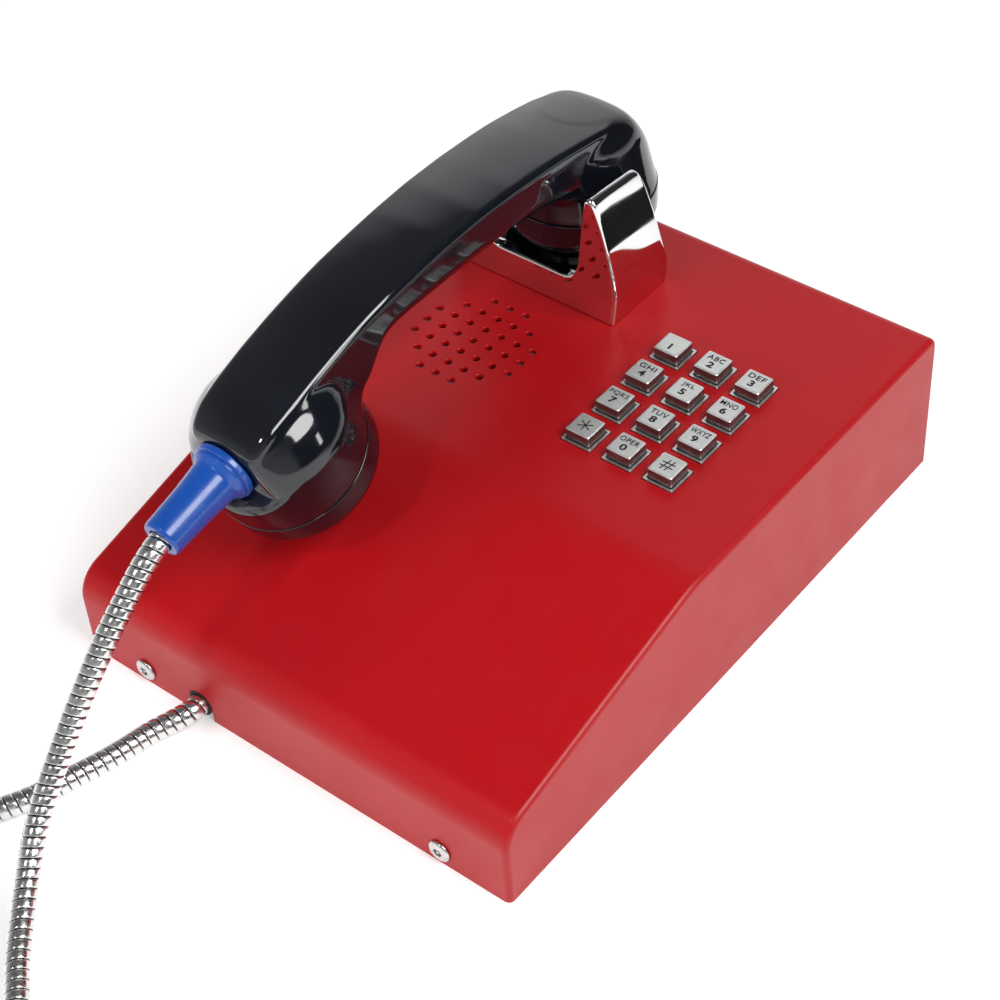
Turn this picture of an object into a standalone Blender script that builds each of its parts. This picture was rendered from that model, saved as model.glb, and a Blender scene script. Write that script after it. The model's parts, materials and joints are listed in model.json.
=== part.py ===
"""A wedge-shaped steel telephone with a metal keypad, a cast cradle and an armoured cord.

Metres, +Z up. The telephone lies on its back. The origin is the centre of the back plate's rear
face, +Z points out of the front, and +Y points to the end that carries the cradle.
"""

import math

import bmesh
import bpy
from mathutils import Matrix, Vector

# Housing
WIDTH = 0.210
LENGTH = 0.280
HEIGHT = 0.067
LOW_HEIGHT = 0.039
SLOPE_LENGTH = 0.112
SHEET = 0.002
LOW_END = -LENGTH / 2
HIGH_END = LENGTH / 2
SLOPE = math.atan2(HEIGHT - LOW_HEIGHT, SLOPE_LENGTH)
END_BEND = 0.014
SLOPE_BEND = 0.060
HIGH_BEND = 0.005
EDGE_CHAMFER = 0.0012
BACK_THICKNESS = 0.0015
GAP = 0.0003

# Hole field and keypad
HOLE_PITCH = 0.008
HOLE_RADIUS = 0.0015
HOLE_ROWS = (3, 5, 7, 7, 7, 5, 3)
SPEAKER_X = -0.0453
SPEAKER_Y = LOW_END + 0.1721
KEY_PITCH = 0.0192
KEYPAD_X = 0.0448
KEYPAD_Y = LOW_END + 0.1818
KEY_COLUMNS = 3
KEY_ROWS = 4
KEY_NAMES = ("1", "2", "3", "4", "5", "6", "7", "8", "9", "star", "0", "hash")
CUTOUT_SIDE = 0.0145
COLLAR_SIDE = 0.0138
WELL_SIDE = 0.0117
KEY_SIDE = 0.0111
KEY_RISE = 0.0054
KEY_TRAVEL = 0.0015
STUD_RADIUS = 0.0015
STUD_X = 0.0315
STUD_Y = 0.0405

# Cradle
CRADLE_X = -0.0446
CRADLE_FRONT = LOW_END + 0.2105
CRADLE_BACK = LOW_END + 0.2478
CRADLE_WALL = 0.0025
DECK_HEIGHT = 0.0155
HOOK_Y = LOW_END + 0.2290
HOOK_RISE = 0.005

# Handset
EAR_Y = LOW_END + 0.2440
EAR_SEAM = 0.1028
EAR_RADIUS = 0.0316
MOUTH_Y = LOW_END + 0.0635
MOUTH_SEAM = 0.0912
MOUTH_RADIUS = 0.0324
MOUTH_TILT = math.radians(28.3)
BOOT_TILT = math.radians(12.5)
BOOT_FACE = Vector((CRADLE_X, LOW_END + 0.0305, 0.1040))
BOOT_AXIS = Vector((0, -math.cos(BOOT_TILT), -math.sin(BOOT_TILT)))
BOOT_LENGTH = 0.0335
MOUTH_AXIS = Vector((0, math.sin(MOUTH_TILT), -math.cos(MOUTH_TILT)))
MOUTH_CENTRE = Vector((CRADLE_X, MOUTH_Y, MOUTH_SEAM))
EAR_AXIS = Vector((0, 0, -1))
EAR_CENTRE = Vector((CRADLE_X, EAR_Y, EAR_SEAM))

# Armoured cord: the centre line from the clamp in the housing to the boot
CORD_RADIUS = 0.0046
CORD_EXIT_HEIGHT = 0.0070
CORD_ROUTE = (
    (-0.0446, -0.1270, 0.0070),
    (-0.0446, -0.1360, 0.0070),
    (-0.0446, -0.1420, 0.0070),
    (-0.0450, -0.1455, 0.0067),
    (-0.0475, -0.1520, 0.0060),
    (-0.0515, -0.1620, 0.0051),
    (-0.0547, -0.1750, 0.0047),
    (-0.0585, -0.1880, 0.0047),
    (-0.0680, -0.2140, 0.0047),
    (-0.0860, -0.2400, 0.0047),
    (-0.1080, -0.2680, 0.0047),
    (-0.1250, -0.3000, 0.0047),
    (-0.1270, -0.3551, 0.0047),
    (-0.1130, -0.4053, 0.0047),
    (-0.0860, -0.4409, 0.0047),
    (-0.0530, -0.4539, 0.0047),
    (-0.0200, -0.4442, 0.0047),
    (0.0060, -0.4118, 0.0047),
    (0.0190, -0.3648, 0.0047),
    (0.0170, -0.3162, 0.0048),
    (0.0030, -0.2830, 0.0062),
    (-0.0150, -0.2620, 0.0100),
    (-0.0290, -0.2430, 0.0170),
    (-0.0365, -0.2290, 0.0270),
    (-0.0405, -0.2170, 0.0360),
    (-0.0430, -0.2030, 0.0480),
    (-0.0440, -0.1870, 0.0635),
    (-0.0443, -0.1750, 0.0745),
    (-0.0445, -0.1620, 0.0845),
    (-0.0446, -0.1520, 0.0918),
    (-0.0446, -0.1445, 0.0958),
    (-0.0446, -0.1410, 0.0970),
    (-0.0446, -0.1380, 0.0977),
    (-0.0446, -0.1325, 0.0989),
)

PARTS = None
CUTTERS = None


# ---------------------------------------------------------------- helpers


def clear_scene():
    for old in list(bpy.data.objects):
        bpy.data.objects.remove(old, do_unlink=True)
    for old in list(bpy.data.collections):
        bpy.data.collections.remove(old)


def new_collection(name):
    made = bpy.data.collections.new(name)
    bpy.context.scene.collection.children.link(made)
    return made


def material(name, colour, roughness, metallic=0.0):
    made = bpy.data.materials.get(name)
    if made is None:
        made = bpy.data.materials.new(name)
        made.use_nodes = True
        shader = made.node_tree.nodes["Principled BSDF"]
        shader.inputs["Base Color"].default_value = (*colour, 1.0)
        shader.inputs["Roughness"].default_value = roughness
        shader.inputs["Metallic"].default_value = metallic
    return made


def red():
    return material("red_powder_coat", (0.48, 0.013, 0.018), 0.45)


def chrome():
    return material("chrome_plate", (0.75, 0.75, 0.76), 0.08, 1.0)


def steel():
    return material("zinc_steel", (0.55, 0.56, 0.57), 0.35, 1.0)


def black():
    return material("black_plastic", (0.012, 0.013, 0.018), 0.12)


def blue():
    return material("blue_rubber", (0.02, 0.08, 0.50), 0.3)


def board_green():
    return material("circuit_board", (0.02, 0.16, 0.07), 0.5)


def grey():
    return material("grey_silicone", (0.28, 0.29, 0.30), 0.6)


def place(obj, collection, own_material=None):
    """Moves an object to one collection, and gives it its material."""
    for old in list(obj.users_collection):
        old.objects.unlink(obj)
    collection.objects.link(obj)
    if own_material:
        obj.data.materials.clear()
        obj.data.materials.append(own_material)
    return obj


def from_bmesh(name, bm, collection, own_material=None):
    bmesh.ops.recalc_face_normals(bm, faces=bm.faces)
    mesh = bpy.data.meshes.new(name)
    bm.to_mesh(mesh)
    bm.free()
    obj = bpy.data.objects.new(name, mesh)
    return place(obj, collection, own_material)


def boxes(name, places, collection, own_material=None):
    """Boxes in one mesh. Each place is (centre, size)."""
    bm = bmesh.new()
    for centre, size in places:
        matrix = Matrix.Translation(centre) @ Matrix.Diagonal((*size, 1.0))
        bmesh.ops.create_cube(bm, size=1.0, matrix=matrix)
    return from_bmesh(name, bm, collection, own_material)


def aimed(centre, axis):
    """A matrix that turns local +Z to the axis, at the centre."""
    turn = Vector((0, 0, 1)).rotation_difference(Vector(axis)).to_matrix().to_4x4()
    return Matrix.Translation(centre) @ turn


def rods(name, places, radius, depth, sides, collection, own_material=None):
    """Cylinders in one mesh. Each place is (centre, axis)."""
    bm = bmesh.new()
    for centre, axis in places:
        bmesh.ops.create_cone(
            bm, cap_ends=True, segments=sides, radius1=radius, radius2=radius,
            depth=depth, matrix=aimed(centre, axis),
        )
    return from_bmesh(name, bm, collection, own_material)


def turned(name, profile, steps, centre, axis, collection, own_material=None):
    """A solid turned from (radius, height) points that run from its top to its bottom."""
    bm = bmesh.new()
    points = [bm.verts.new((radius, 0, height)) for radius, height in profile]
    for first, second in zip(points, points[1:]):
        bm.edges.new((first, second))
    if profile[0][0] > 0:
        bm.edges.new((points[-1], points[0]))
    mesh = bpy.data.meshes.new(name)
    bm.to_mesh(mesh)
    bm.free()
    obj = place(bpy.data.objects.new(name, mesh), collection, own_material)
    obj.matrix_world = aimed(centre, axis)
    screw = obj.modifiers.new("Turn", "SCREW")
    screw.steps = steps
    screw.render_steps = steps
    screw.use_merge_vertices = True
    screw.merge_threshold = 0.00001
    return obj


def curve_mesh(name, points, collection, own_material, cyclic, settings):
    """A poly curve with the given settings, made a mesh with welded caps."""
    curve = bpy.data.curves.new(name, "CURVE")
    for key, value in settings.items():
        setattr(curve, key, value)
    spline = curve.splines.new("POLY")
    spline.points.add(len(points) - 1)
    for point, target in zip(spline.points, points):
        point.co = (*target, 1.0)
    spline.use_cyclic_u = cyclic
    guide = bpy.data.objects.new(name + "_guide", curve)
    bpy.context.scene.collection.objects.link(guide)
    bpy.context.view_layer.update()
    graph = bpy.context.evaluated_depsgraph_get()
    mesh = bpy.data.meshes.new_from_object(guide.evaluated_get(graph))
    bpy.data.objects.remove(guide)
    bm = bmesh.new()
    bm.from_mesh(mesh)
    bmesh.ops.remove_doubles(bm, verts=bm.verts, dist=0.00001)
    bpy.data.meshes.remove(mesh)
    return from_bmesh(name, bm, collection, own_material)


def extruded(name, outline, thickness, frame, collection, own_material=None):
    """A flat outline made this thick. The frame matrix places its local X, Y and Z."""
    settings = {"dimensions": "2D", "fill_mode": "BOTH", "extrude": thickness / 2}
    points = [(x, y, 0.0) for x, y in outline]
    obj = curve_mesh(name, points, collection, own_material, True, settings)
    obj.data.transform(frame)
    return obj


def tube(name, points, radius, resolution, collection, own_material=None):
    settings = {
        "dimensions": "3D", "bevel_depth": radius, "bevel_resolution": resolution,
        "use_fill_caps": True, "twist_mode": "MINIMUM",
    }
    return curve_mesh(name, points, collection, own_material, False, settings)


def loft(name, rings, collection, own_material=None):
    """A closed solid through rings of equal point counts, each listed the same way round."""
    bm = bmesh.new()
    levels = [[bm.verts.new(point) for point in ring] for ring in rings]
    for lower, upper in zip(levels, levels[1:]):
        for i in range(len(lower)):
            j = (i + 1) % len(lower)
            bm.faces.new((lower[i], lower[j], upper[j], upper[i]))
    bm.faces.new(levels[0])
    bm.faces.new(levels[-1])
    return from_bmesh(name, bm, collection, own_material)


def boolean(obj, other, operation):
    """Cuts or joins by a helper, which stays hidden among the cutters."""
    place(other, CUTTERS)
    other.hide_render = True
    other.display_type = "WIRE"
    change = obj.modifiers.new(operation.title(), "BOOLEAN")
    change.operation = operation
    change.solver = "EXACT"
    change.object = other
    return obj


def cut(obj, *others):
    for other in others:
        boolean(obj, other, "DIFFERENCE")
    return obj


def join(obj, *others):
    for other in others:
        boolean(obj, other, "UNION")
    return obj


def bevel(obj, width, segments=1):
    rounding = obj.modifiers.new("Edges", "BEVEL")
    rounding.width = width
    rounding.segments = segments
    rounding.limit_method = "ANGLE"
    rounding.angle_limit = math.radians(50)
    rounding.use_clamp_overlap = False
    return obj


def smooth(obj):
    obj.data.shade_smooth()
    return obj


def filleted(corners, steps=4):
    """The polyline through (x, y, radius) corners, with each corner rounded to its radius."""
    line = []
    for i, (x, y, radius) in enumerate(corners):
        here = Vector((x, y))
        before = Vector(corners[i - 1][:2])
        after = Vector(corners[(i + 1) % len(corners)][:2])
        if radius == 0:
            line.append((x, y))
            continue
        back = (before - here).normalized()
        ahead = (after - here).normalized()
        half = back.angle(ahead) / 2
        centre = here + (back + ahead).normalized() * (radius / math.sin(half))
        start = here + back * (radius / math.tan(half)) - centre
        turn = start.angle_signed(here + ahead * (radius / math.tan(half)) - centre)
        for step in range(steps + 1):
            angle = -turn * step / steps
            c, s = math.cos(angle), math.sin(angle)
            line.append((centre.x + c * start.x - s * start.y, centre.y + s * start.x + c * start.y))
    return line


def smooth_route(points, count):
    """Evenly spaced points on a Catmull-Rom curve through the given points."""
    points = [Vector(p) for p in points]
    padded = [2 * points[0] - points[1], *points, 2 * points[-1] - points[-2]]
    fine = []
    for a, b, c, d in zip(padded, padded[1:], padded[2:], padded[3:]):
        for step in range(20):
            t = step / 20
            fine.append(
                0.5 * (2 * b + (c - a) * t + (2 * a - 5 * b + 4 * c - d) * t * t
                       + (3 * b - a - 3 * c + d) * t ** 3)
            )
    fine.append(points[-1])
    reach = [0.0]
    for a, b in zip(fine, fine[1:]):
        reach.append(reach[-1] + (b - a).length)
    even = []
    k = 0
    for i in range(count):
        target = reach[-1] * i / (count - 1)
        while k < len(fine) - 2 and reach[k + 1] < target:
            k += 1
        share = (target - reach[k]) / (reach[k + 1] - reach[k])
        even.append(fine[k].lerp(fine[k + 1], share))
    return even


SIDE_FRAME = Matrix(((0, 0, 1, 0), (1, 0, 0, 0), (0, 1, 0, 0), (0, 0, 0, 1)))
END_FRAME = Matrix(((1, 0, 0, 0), (0, 0, -1, 0), (0, 1, 0, 0), (0, 0, 0, 1)))


def side_frame(x):
    """Outline X is the telephone's Y, outline Y its Z, and the thickness lies along X."""
    return Matrix.Translation((x, 0, 0)) @ SIDE_FRAME


def end_frame(x, y):
    """Outline X is the telephone's X, outline Y its Z, and the thickness lies along Y."""
    return Matrix.Translation((x, y, 0)) @ END_FRAME


# ---------------------------------------------------------------- housing


def housing_outline(inset, bottom, steps=4):
    """The side outline, inset by this much, down to this height."""
    low_z = LOW_HEIGHT + inset * math.tan(SLOPE) - inset / math.cos(SLOPE)
    bend_y = LOW_END + SLOPE_LENGTH + inset * math.tan(SLOPE / 2)
    return filleted((
        (LOW_END + inset, bottom, 0),
        (LOW_END + inset, low_z, END_BEND - inset),
        (bend_y, HEIGHT - inset, SLOPE_BEND - inset),
        (HIGH_END - inset, HEIGHT - inset, HIGH_BEND - inset),
        (HIGH_END - inset, bottom, 0),
    ), steps)


def hole_places():
    places = []
    middle = (len(HOLE_ROWS) - 1) / 2
    for row, count in enumerate(HOLE_ROWS):
        for column in range(count):
            x = SPEAKER_X + (column - (count - 1) / 2) * HOLE_PITCH
            places.append((x, SPEAKER_Y + (middle - row) * HOLE_PITCH))
    return places


def key_places():
    places = []
    for row in range(KEY_ROWS):
        for column in range(KEY_COLUMNS):
            x = KEYPAD_X + (column - 1) * KEY_PITCH
            y = KEYPAD_Y + (1.5 - row) * KEY_PITCH
            places.append((x, y))
    return places


def end_screw_places():
    """Where the four security screws sit: (x, end face y, outward direction)."""
    return [(x, y, way) for y, way in ((LOW_END, -1), (HIGH_END, 1)) for x in (-0.0735, 0.0735)]


def keypad_stud_places():
    return [
        (KEYPAD_X + x * STUD_X, KEYPAD_Y + y * STUD_Y) for x in (-1, 1) for y in (-1, 1)
    ]


def speaker_stud_places():
    return [(SPEAKER_X + x * 0.0345, SPEAKER_Y) for x in (-1, 1)]


SCREW_HEIGHT = 0.0073


FACE_LOW = LOW_END + 0.1240
FACE_HIGH = LOW_END + 0.2742


def sheet_stretch(name, low, high):
    """A stretch of the folded sheet, with its outer edges chamfered along both sides."""
    kept = [i for i, p in enumerate(housing_outline(0, 0)) if low < p[0] < high]

    def skin(inset):
        outline = housing_outline(inset, 0)
        points = [tuple(outline[i]) for i in kept]
        if low > LOW_END:
            points.insert(0, (low, HEIGHT - inset))
        if high < HIGH_END:
            points.append((high, HEIGHT - inset))
        return points

    side = WIDTH / 2
    rings = []
    for x, inset in (
        (-side, EDGE_CHAMFER), (EDGE_CHAMFER - side, 0), (side - EDGE_CHAMFER, 0), (side, EDGE_CHAMFER)
    ):
        rings.append([(x, y, z) for y, z in skin(inset) + skin(SHEET)[::-1]])
    return loft(name, rings, PARTS, red())


def make_housing():
    """One sheet folded over the front, in three stretches, with side panels welded in."""
    cover = sheet_stretch("housing_cover", LOW_END - 1, FACE_LOW - GAP)
    face = sheet_stretch("faceplate", FACE_LOW, FACE_HIGH)
    end = sheet_stretch("housing_end", FACE_HIGH + GAP, HIGH_END + 1)
    for side, x in (("left", -1), ("right", 1)):
        extruded(
            "side_panel_" + side, housing_outline(SHEET + GAP, 0), SHEET,
            side_frame(x * (WIDTH - SHEET) / 2), PARTS, red(),
        )
    holes = rods(
        "speaker_holes", [((x, y, HEIGHT), (0, 0, 1)) for x, y in hole_places()],
        HOLE_RADIUS, 0.010, 6, CUTTERS,
    )
    cutouts = boxes(
        "key_cutouts",
        [((x, y, HEIGHT), (CUTOUT_SIDE, CUTOUT_SIDE, 0.012)) for x, y in key_places()], CUTTERS,
    )
    screw_holes = rods(
        "end_screw_holes",
        [((x, y, SCREW_HEIGHT), (0, 1, 0)) for x, y, _ in end_screw_places()],
        0.0023, 0.012, 12, CUTTERS,
    )
    hook_holes = rods(
        "hook_holes",
        [((CRADLE_X + dx, HOOK_Y, HEIGHT), (0, 0, 1)) for dx in (0, -0.024, 0.024)],
        0.0040, 0.012, 14, CUTTERS,
    )
    notch_round = rods(
        "notch_round", [((CRADLE_X, LOW_END, CORD_EXIT_HEIGHT), (0, 1, 0))],
        0.0059, 0.012, 20, CUTTERS,
    )
    notch_slot = boxes(
        "notch_slot",
        [((CRADLE_X, LOW_END, CORD_EXIT_HEIGHT / 2 - 0.002), (0.0116, 0.012, 0.011))], CUTTERS,
    )
    cut(cover, screw_holes, notch_round, notch_slot)
    cut(face, holes, cutouts, hook_holes)
    cut(end, screw_holes)
    for sheet in (cover, face, end):
        smooth(sheet)


def make_back_plate():
    clear = SHEET + GAP
    plate = boxes(
        "back_plate",
        [((0, 0, BACK_THICKNESS / 2), (WIDTH - 2 * clear, LENGTH - 2 * clear, BACK_THICKNESS))],
        PARTS, steel(),
    )
    tabs = boxes(
        "fixing_tabs",
        [((x, y - way * (clear + 0.001), 0.0070), (0.016, 0.002, 0.0138))
         for x, y, way in end_screw_places()], CUTTERS,
    )
    tab_holes = rods(
        "tab_holes",
        [((x, y - way * 0.003, SCREW_HEIGHT), (0, 1, 0)) for x, y, way in end_screw_places()],
        0.0023, 0.008, 12, CUTTERS,
    )
    wall_holes = rods(
        "wall_holes",
        [((x, y, 0), (0, 0, 1)) for x in (-0.070, 0.070) for y in (-0.100, 0.100)],
        0.0030, 0.010, 16, CUTTERS,
    )
    join(plate, tabs)
    cut(plate, tab_holes, wall_holes)
    return plate


def make_security_screws():
    """Domed heads with a hexagon socket, and shanks that reach into the back plate's tabs."""
    profile = (
        (0.0, 0.0018), (0.0033, 0.0016), (0.0044, 0.0011), (0.00475, GAP),
        (0.0020, GAP), (0.0020, -0.0060), (0.0, -0.0060),
    )
    for number, (x, y, way) in enumerate(end_screw_places(), 1):
        screw = turned(
            f"security_screw_{number}", profile, 16, (x, y, SCREW_HEIGHT), (0, way, 0), PARTS, steel()
        )
        socket = rods(
            f"screw_socket_{number}", [((x, y + way * 0.0022, SCREW_HEIGHT), (0, way, 0))],
            0.0017, 0.0020, 6, CUTTERS,
        )
        cut(smooth(screw), socket)


# ---------------------------------------------------------------- keypad

BEZEL_TOP = HEIGHT - SHEET - GAP
BEZEL_BOTTOM = BEZEL_TOP - 0.0032
KEY_BOTTOM = BEZEL_BOTTOM - GAP - 0.0010
MAT_TOP = KEY_BOTTOM - KEY_TRAVEL - GAP
MAT_BOTTOM = MAT_TOP - 0.0012
BOARD_TOP = MAT_BOTTOM - GAP
BOARD_BOTTOM = BOARD_TOP - 0.0016


def stud_clearance(name, z):
    return rods(
        name, [((x, y, z), (0, 0, 1)) for x, y in keypad_stud_places()],
        STUD_RADIUS + GAP, 0.010, 10, CUTTERS,
    )


def slab(name, centre_xy, size_xy, low, high, collection, own_material=None):
    """A box between two heights."""
    x, y = centre_xy
    place_and_size = ((x, y, (low + high) / 2), (*size_xy, high - low))
    return boxes(name, [place_and_size], collection, own_material)


def make_keypad():
    centre = (KEYPAD_X, KEYPAD_Y)
    bezel = slab("keypad_bezel", centre, (0.071, 0.089), BEZEL_BOTTOM, BEZEL_TOP, PARTS, chrome())
    low, high = BEZEL_BOTTOM + 0.001, HEIGHT + 0.0005
    collars = boxes(
        "collars",
        [((x, y, (low + high) / 2), (COLLAR_SIDE, COLLAR_SIDE, high - low))
         for x, y in key_places()], CUTTERS,
    )
    wells = boxes(
        "wells", [((x, y, HEIGHT), (WELL_SIDE, WELL_SIDE, 0.020)) for x, y in key_places()], CUTTERS
    )
    join(bezel, collars)
    cut(bezel, wells, stud_clearance("bezel_stud_holes", BEZEL_TOP))
    mat = slab("keypad_mat", centre, (0.069, 0.087), MAT_BOTTOM, MAT_TOP, PARTS, grey())
    cut(mat, stud_clearance("mat_stud_holes", MAT_TOP))
    board = slab(
        "keypad_board", centre, (0.069, 0.087), BOARD_BOTTOM, BOARD_TOP, PARTS, board_green()
    )
    cut(board, stud_clearance("board_stud_holes", BOARD_TOP))
    for number, (x, y) in enumerate(keypad_stud_places(), 1):
        make_stud(f"keypad_stud_{number}", x, y, BOARD_BOTTOM - GAP)


def make_stud(name, x, y, seat):
    """A stud welded behind the faceplate, with its nut tightened against this height."""
    top = HEIGHT - SHEET - GAP
    nut = rods(name, [((x, y, seat - 0.0011), (0, 0, 1))], 0.0030, 0.0022, 6, PARTS, steel())
    low = seat - 0.0032
    stud = rods(
        name + "_shank", [((x, y, (top + low) / 2), (0, 0, 1))], STUD_RADIUS, top - low, 8, CUTTERS
    )
    return join(nut, stud)


def square_ring(x, y, z, half):
    return [(x + sx * half, y + sy * half, z) for sx, sy in ((-1, -1), (1, -1), (1, 1), (-1, 1))]


def make_keys():
    """Each key: a flange below the bezel, a square shaft, and a top with a chamfer."""
    half = KEY_SIDE / 2
    top = HEIGHT + KEY_RISE
    levels = (
        (KEY_BOTTOM, 0.0066), (KEY_BOTTOM + 0.0010, 0.0066), (KEY_BOTTOM + 0.0010, half),
        (top - 0.0009, half), (top, half - 0.0007),
    )
    for name, (x, y) in zip(KEY_NAMES, key_places()):
        rings = [square_ring(0, 0, z - top, size) for z, size in levels]
        key = loft("key_" + name, rings, PARTS, steel())
        key.location = (x, y, top)


# ---------------------------------------------------------------- cradle

# Half width of the casting at each height above the front
EAR_PROFILE = (
    (0.0405, 0.0003), (0.0414, 0.0067), (0.0423, 0.0140), (0.0412, 0.0245), (0.0387, 0.0360),
    (0.0352, 0.0492), (0.0334, 0.0543), (0.0318, 0.0568), (0.0305, 0.0580),
)
# How far the back edge leans forward at each of those heights
BACK_LEAN = (0, 0, 0.0013, 0.0037, 0.0043, 0.0056, 0.0068, 0.0077, 0.0088)
# (share of the way back, extra height of the ear there)
EAR_STATIONS = (
    (0.0, 0.0006), (0.25, 0.0006), (0.5, 0.0000), (0.75, -0.0008), (0.92, -0.0012), (1.0, -0.0022)
)


def cradle_ring(share, extra, front, depth, inset, bottom):
    """One section of the casting: up the right side, across the top, and down the left."""
    right = []
    for (x, z), lean in zip(EAR_PROFILE, BACK_LEAN):
        right.append((x - inset, front + share * (depth - lean), z + extra * (z / 0.058) ** 3))
    if inset:
        above = [point for point in right if point[2] > bottom]
        top = above[-1]
        right = [(above[0][0] + 0.0005, above[0][1], bottom), *above]
        right.append((top[0] - 0.0080, top[1], top[2] + 0.0120))
    left = [(-x, y, z) for x, y, z in reversed(right)]
    return [(CRADLE_X + x, y, HEIGHT + z) for x, y, z in right + left]


def make_cradle():
    depth = CRADLE_BACK - CRADLE_FRONT
    rings = [
        cradle_ring(share, extra, CRADLE_FRONT, depth, 0, 0) for share, extra in EAR_STATIONS
    ]
    cradle = loft("cradle", rings, PARTS, chrome())
    pocket_rings = [
        cradle_ring(share, extra, CRADLE_FRONT + CRADLE_WALL, depth + 0.012, CRADLE_WALL, DECK_HEIGHT)
        for share, extra in EAR_STATIONS
    ]
    pocket = loft("cradle_pocket", pocket_rings, CUTTERS)
    opening = extruded(
        "cradle_opening",
        filleted((
            (-0.0212, DECK_HEIGHT + HEIGHT, 0.004), (0.0212, DECK_HEIGHT + HEIGHT, 0.004),
            (0.0256, 0.0425 + HEIGHT, 0), (0.0300, 0.0700 + HEIGHT, 0),
            (-0.0300, 0.0700 + HEIGHT, 0), (-0.0256, 0.0425 + HEIGHT, 0),
        )), 0.012, end_frame(CRADLE_X, CRADLE_FRONT), CUTTERS,
    )
    plunger_hole = rods(
        "cradle_plunger_hole", [((CRADLE_X, HOOK_Y, HEIGHT), (0, 0, 1))], 0.0040, 0.060, 14, CUTTERS
    )
    screw_holes = rods(
        "cradle_screw_holes",
        [((CRADLE_X + x, HOOK_Y, HEIGHT + 0.001), (0, 0, 1)) for x in (-0.024, 0.024)],
        0.0023, 0.022, 12, CUTTERS,
    )
    cut(cradle, pocket, opening, plunger_hole, screw_holes)
    return smooth(cradle)


def make_hook():
    under = HEIGHT - SHEET - GAP
    outline = (
        (-0.031, under), (-0.0155, under), (-0.0155, 0.0400), (0.0155, 0.0400), (0.0155, under),
        (0.031, under), (0.031, under - 0.0015), (0.017, under - 0.0015), (0.017, 0.0385),
        (-0.017, 0.0385), (-0.017, under - 0.0015), (-0.031, under - 0.0015),
    )
    bracket = extruded(
        "hook_bracket", outline, 0.018, end_frame(CRADLE_X, HOOK_Y), PARTS, steel()
    )
    guide = rods(
        "hook_guide_hole", [((CRADLE_X, HOOK_Y, 0.039), (0, 0, 1))], 0.0036, 0.008, 14, CUTTERS
    )
    feet = rods(
        "hook_foot_holes",
        [((CRADLE_X + x, HOOK_Y, under), (0, 0, 1)) for x in (-0.024, 0.024)],
        0.0023, 0.008, 12, CUTTERS,
    )
    cut(bracket, guide, feet)
    top = EAR_SEAM - CAP_HEIGHT - GAP
    plunger = turned(
        "hook_plunger",
        ((0.0, top), (0.0022, top), (0.0032, top - 0.0008), (0.0032, 0.0340), (0.0, 0.0340)),
        16, (CRADLE_X, HOOK_Y, 0), (0, 0, 1), PARTS, steel(),
    )
    arm = boxes(
        "hook_arm", [((CRADLE_X + 0.004, HOOK_Y, 0.0535), (0.019, 0.011, 0.0016))], CUTTERS
    )
    join(smooth(plunger), arm)
    switch = boxes(
        "hook_switch", [((CRADLE_X + 0.0105, HOOK_Y, 0.0454), (0.0064, 0.017, 0.0102))],
        PARTS, black(),
    )
    button = boxes(
        "hook_switch_button", [((CRADLE_X + 0.0105, HOOK_Y, 0.0510), (0.003, 0.003, 0.0026))],
        CUTTERS,
    )
    join(switch, button)
    turns, height, low = 5, 0.0112, 0.0409
    coil = []
    for i in range(turns * 10 + 1):
        angle = math.tau * i / 10
        coil.append((
            CRADLE_X + 0.0044 * math.cos(angle), HOOK_Y + 0.0044 * math.sin(angle),
            low + height * i / (turns * 10),
        ))
    smooth(tube("hook_spring", coil, 0.0004, 1, PARTS, steel()))
    head_top = under - 0.0015 - GAP
    profile = (
        (0.0, HEIGHT + 0.0100), (0.0020, HEIGHT + 0.0100), (0.0020, head_top), (0.0038, head_top),
        (0.0034, head_top - 0.0026), (0.0, head_top - 0.0026),
    )
    for side, x in (("left", -0.024), ("right", 0.024)):
        smooth(turned(
            "cradle_screw_" + side, profile, 12, (CRADLE_X + x, HOOK_Y, 0), (0, 0, 1),
            PARTS, steel(),
        ))


# ---------------------------------------------------------------- handset

# Grip sections: distance from the low end, top edge, underside, half width
GRIP = (
    (0.0290, 0.1120, 0.0960, 0.0130),
    (0.0335, 0.1168, 0.0900, 0.0158),
    (0.0400, 0.1222, 0.0870, 0.0174),
    (0.0500, 0.1262, 0.0890, 0.0180),
    (0.0650, 0.1314, 0.0960, 0.0182),
    (0.0800, 0.1356, 0.1040, 0.0182),
    (0.0925, 0.1386, 0.1095, 0.0182),
    (0.0955, 0.1392, 0.1120, 0.0182),
    (0.0985, 0.1399, 0.1165, 0.0182),
    (0.1030, 0.1407, 0.1212, 0.0183),
    (0.1100, 0.1418, 0.1236, 0.0184),
    (0.1250, 0.1435, 0.1238, 0.0185),
    (0.1400, 0.1449, 0.1240, 0.0186),
    (0.1600, 0.1458, 0.1242, 0.0189),
    (0.1800, 0.1452, 0.1238, 0.0192),
    (0.2000, 0.1438, 0.1212, 0.0194),
    (0.2120, 0.1425, 0.1170, 0.0195),
    (0.2280, 0.1399, 0.1130, 0.0195),
    (0.2440, 0.1368, 0.1100, 0.0193),
    (0.2530, 0.1346, 0.1080, 0.0186),
    (0.2580, 0.1318, 0.1080, 0.0174),
    (0.2625, 0.1278, 0.1080, 0.0160),
    (0.2670, 0.1222, 0.1070, 0.0142),
    (0.2710, 0.1155, 0.1060, 0.0115),
    (0.2745, 0.1090, 0.1050, 0.0070),
)
CROWN = 0.0022
CAP_HEIGHT = 0.0162


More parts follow.
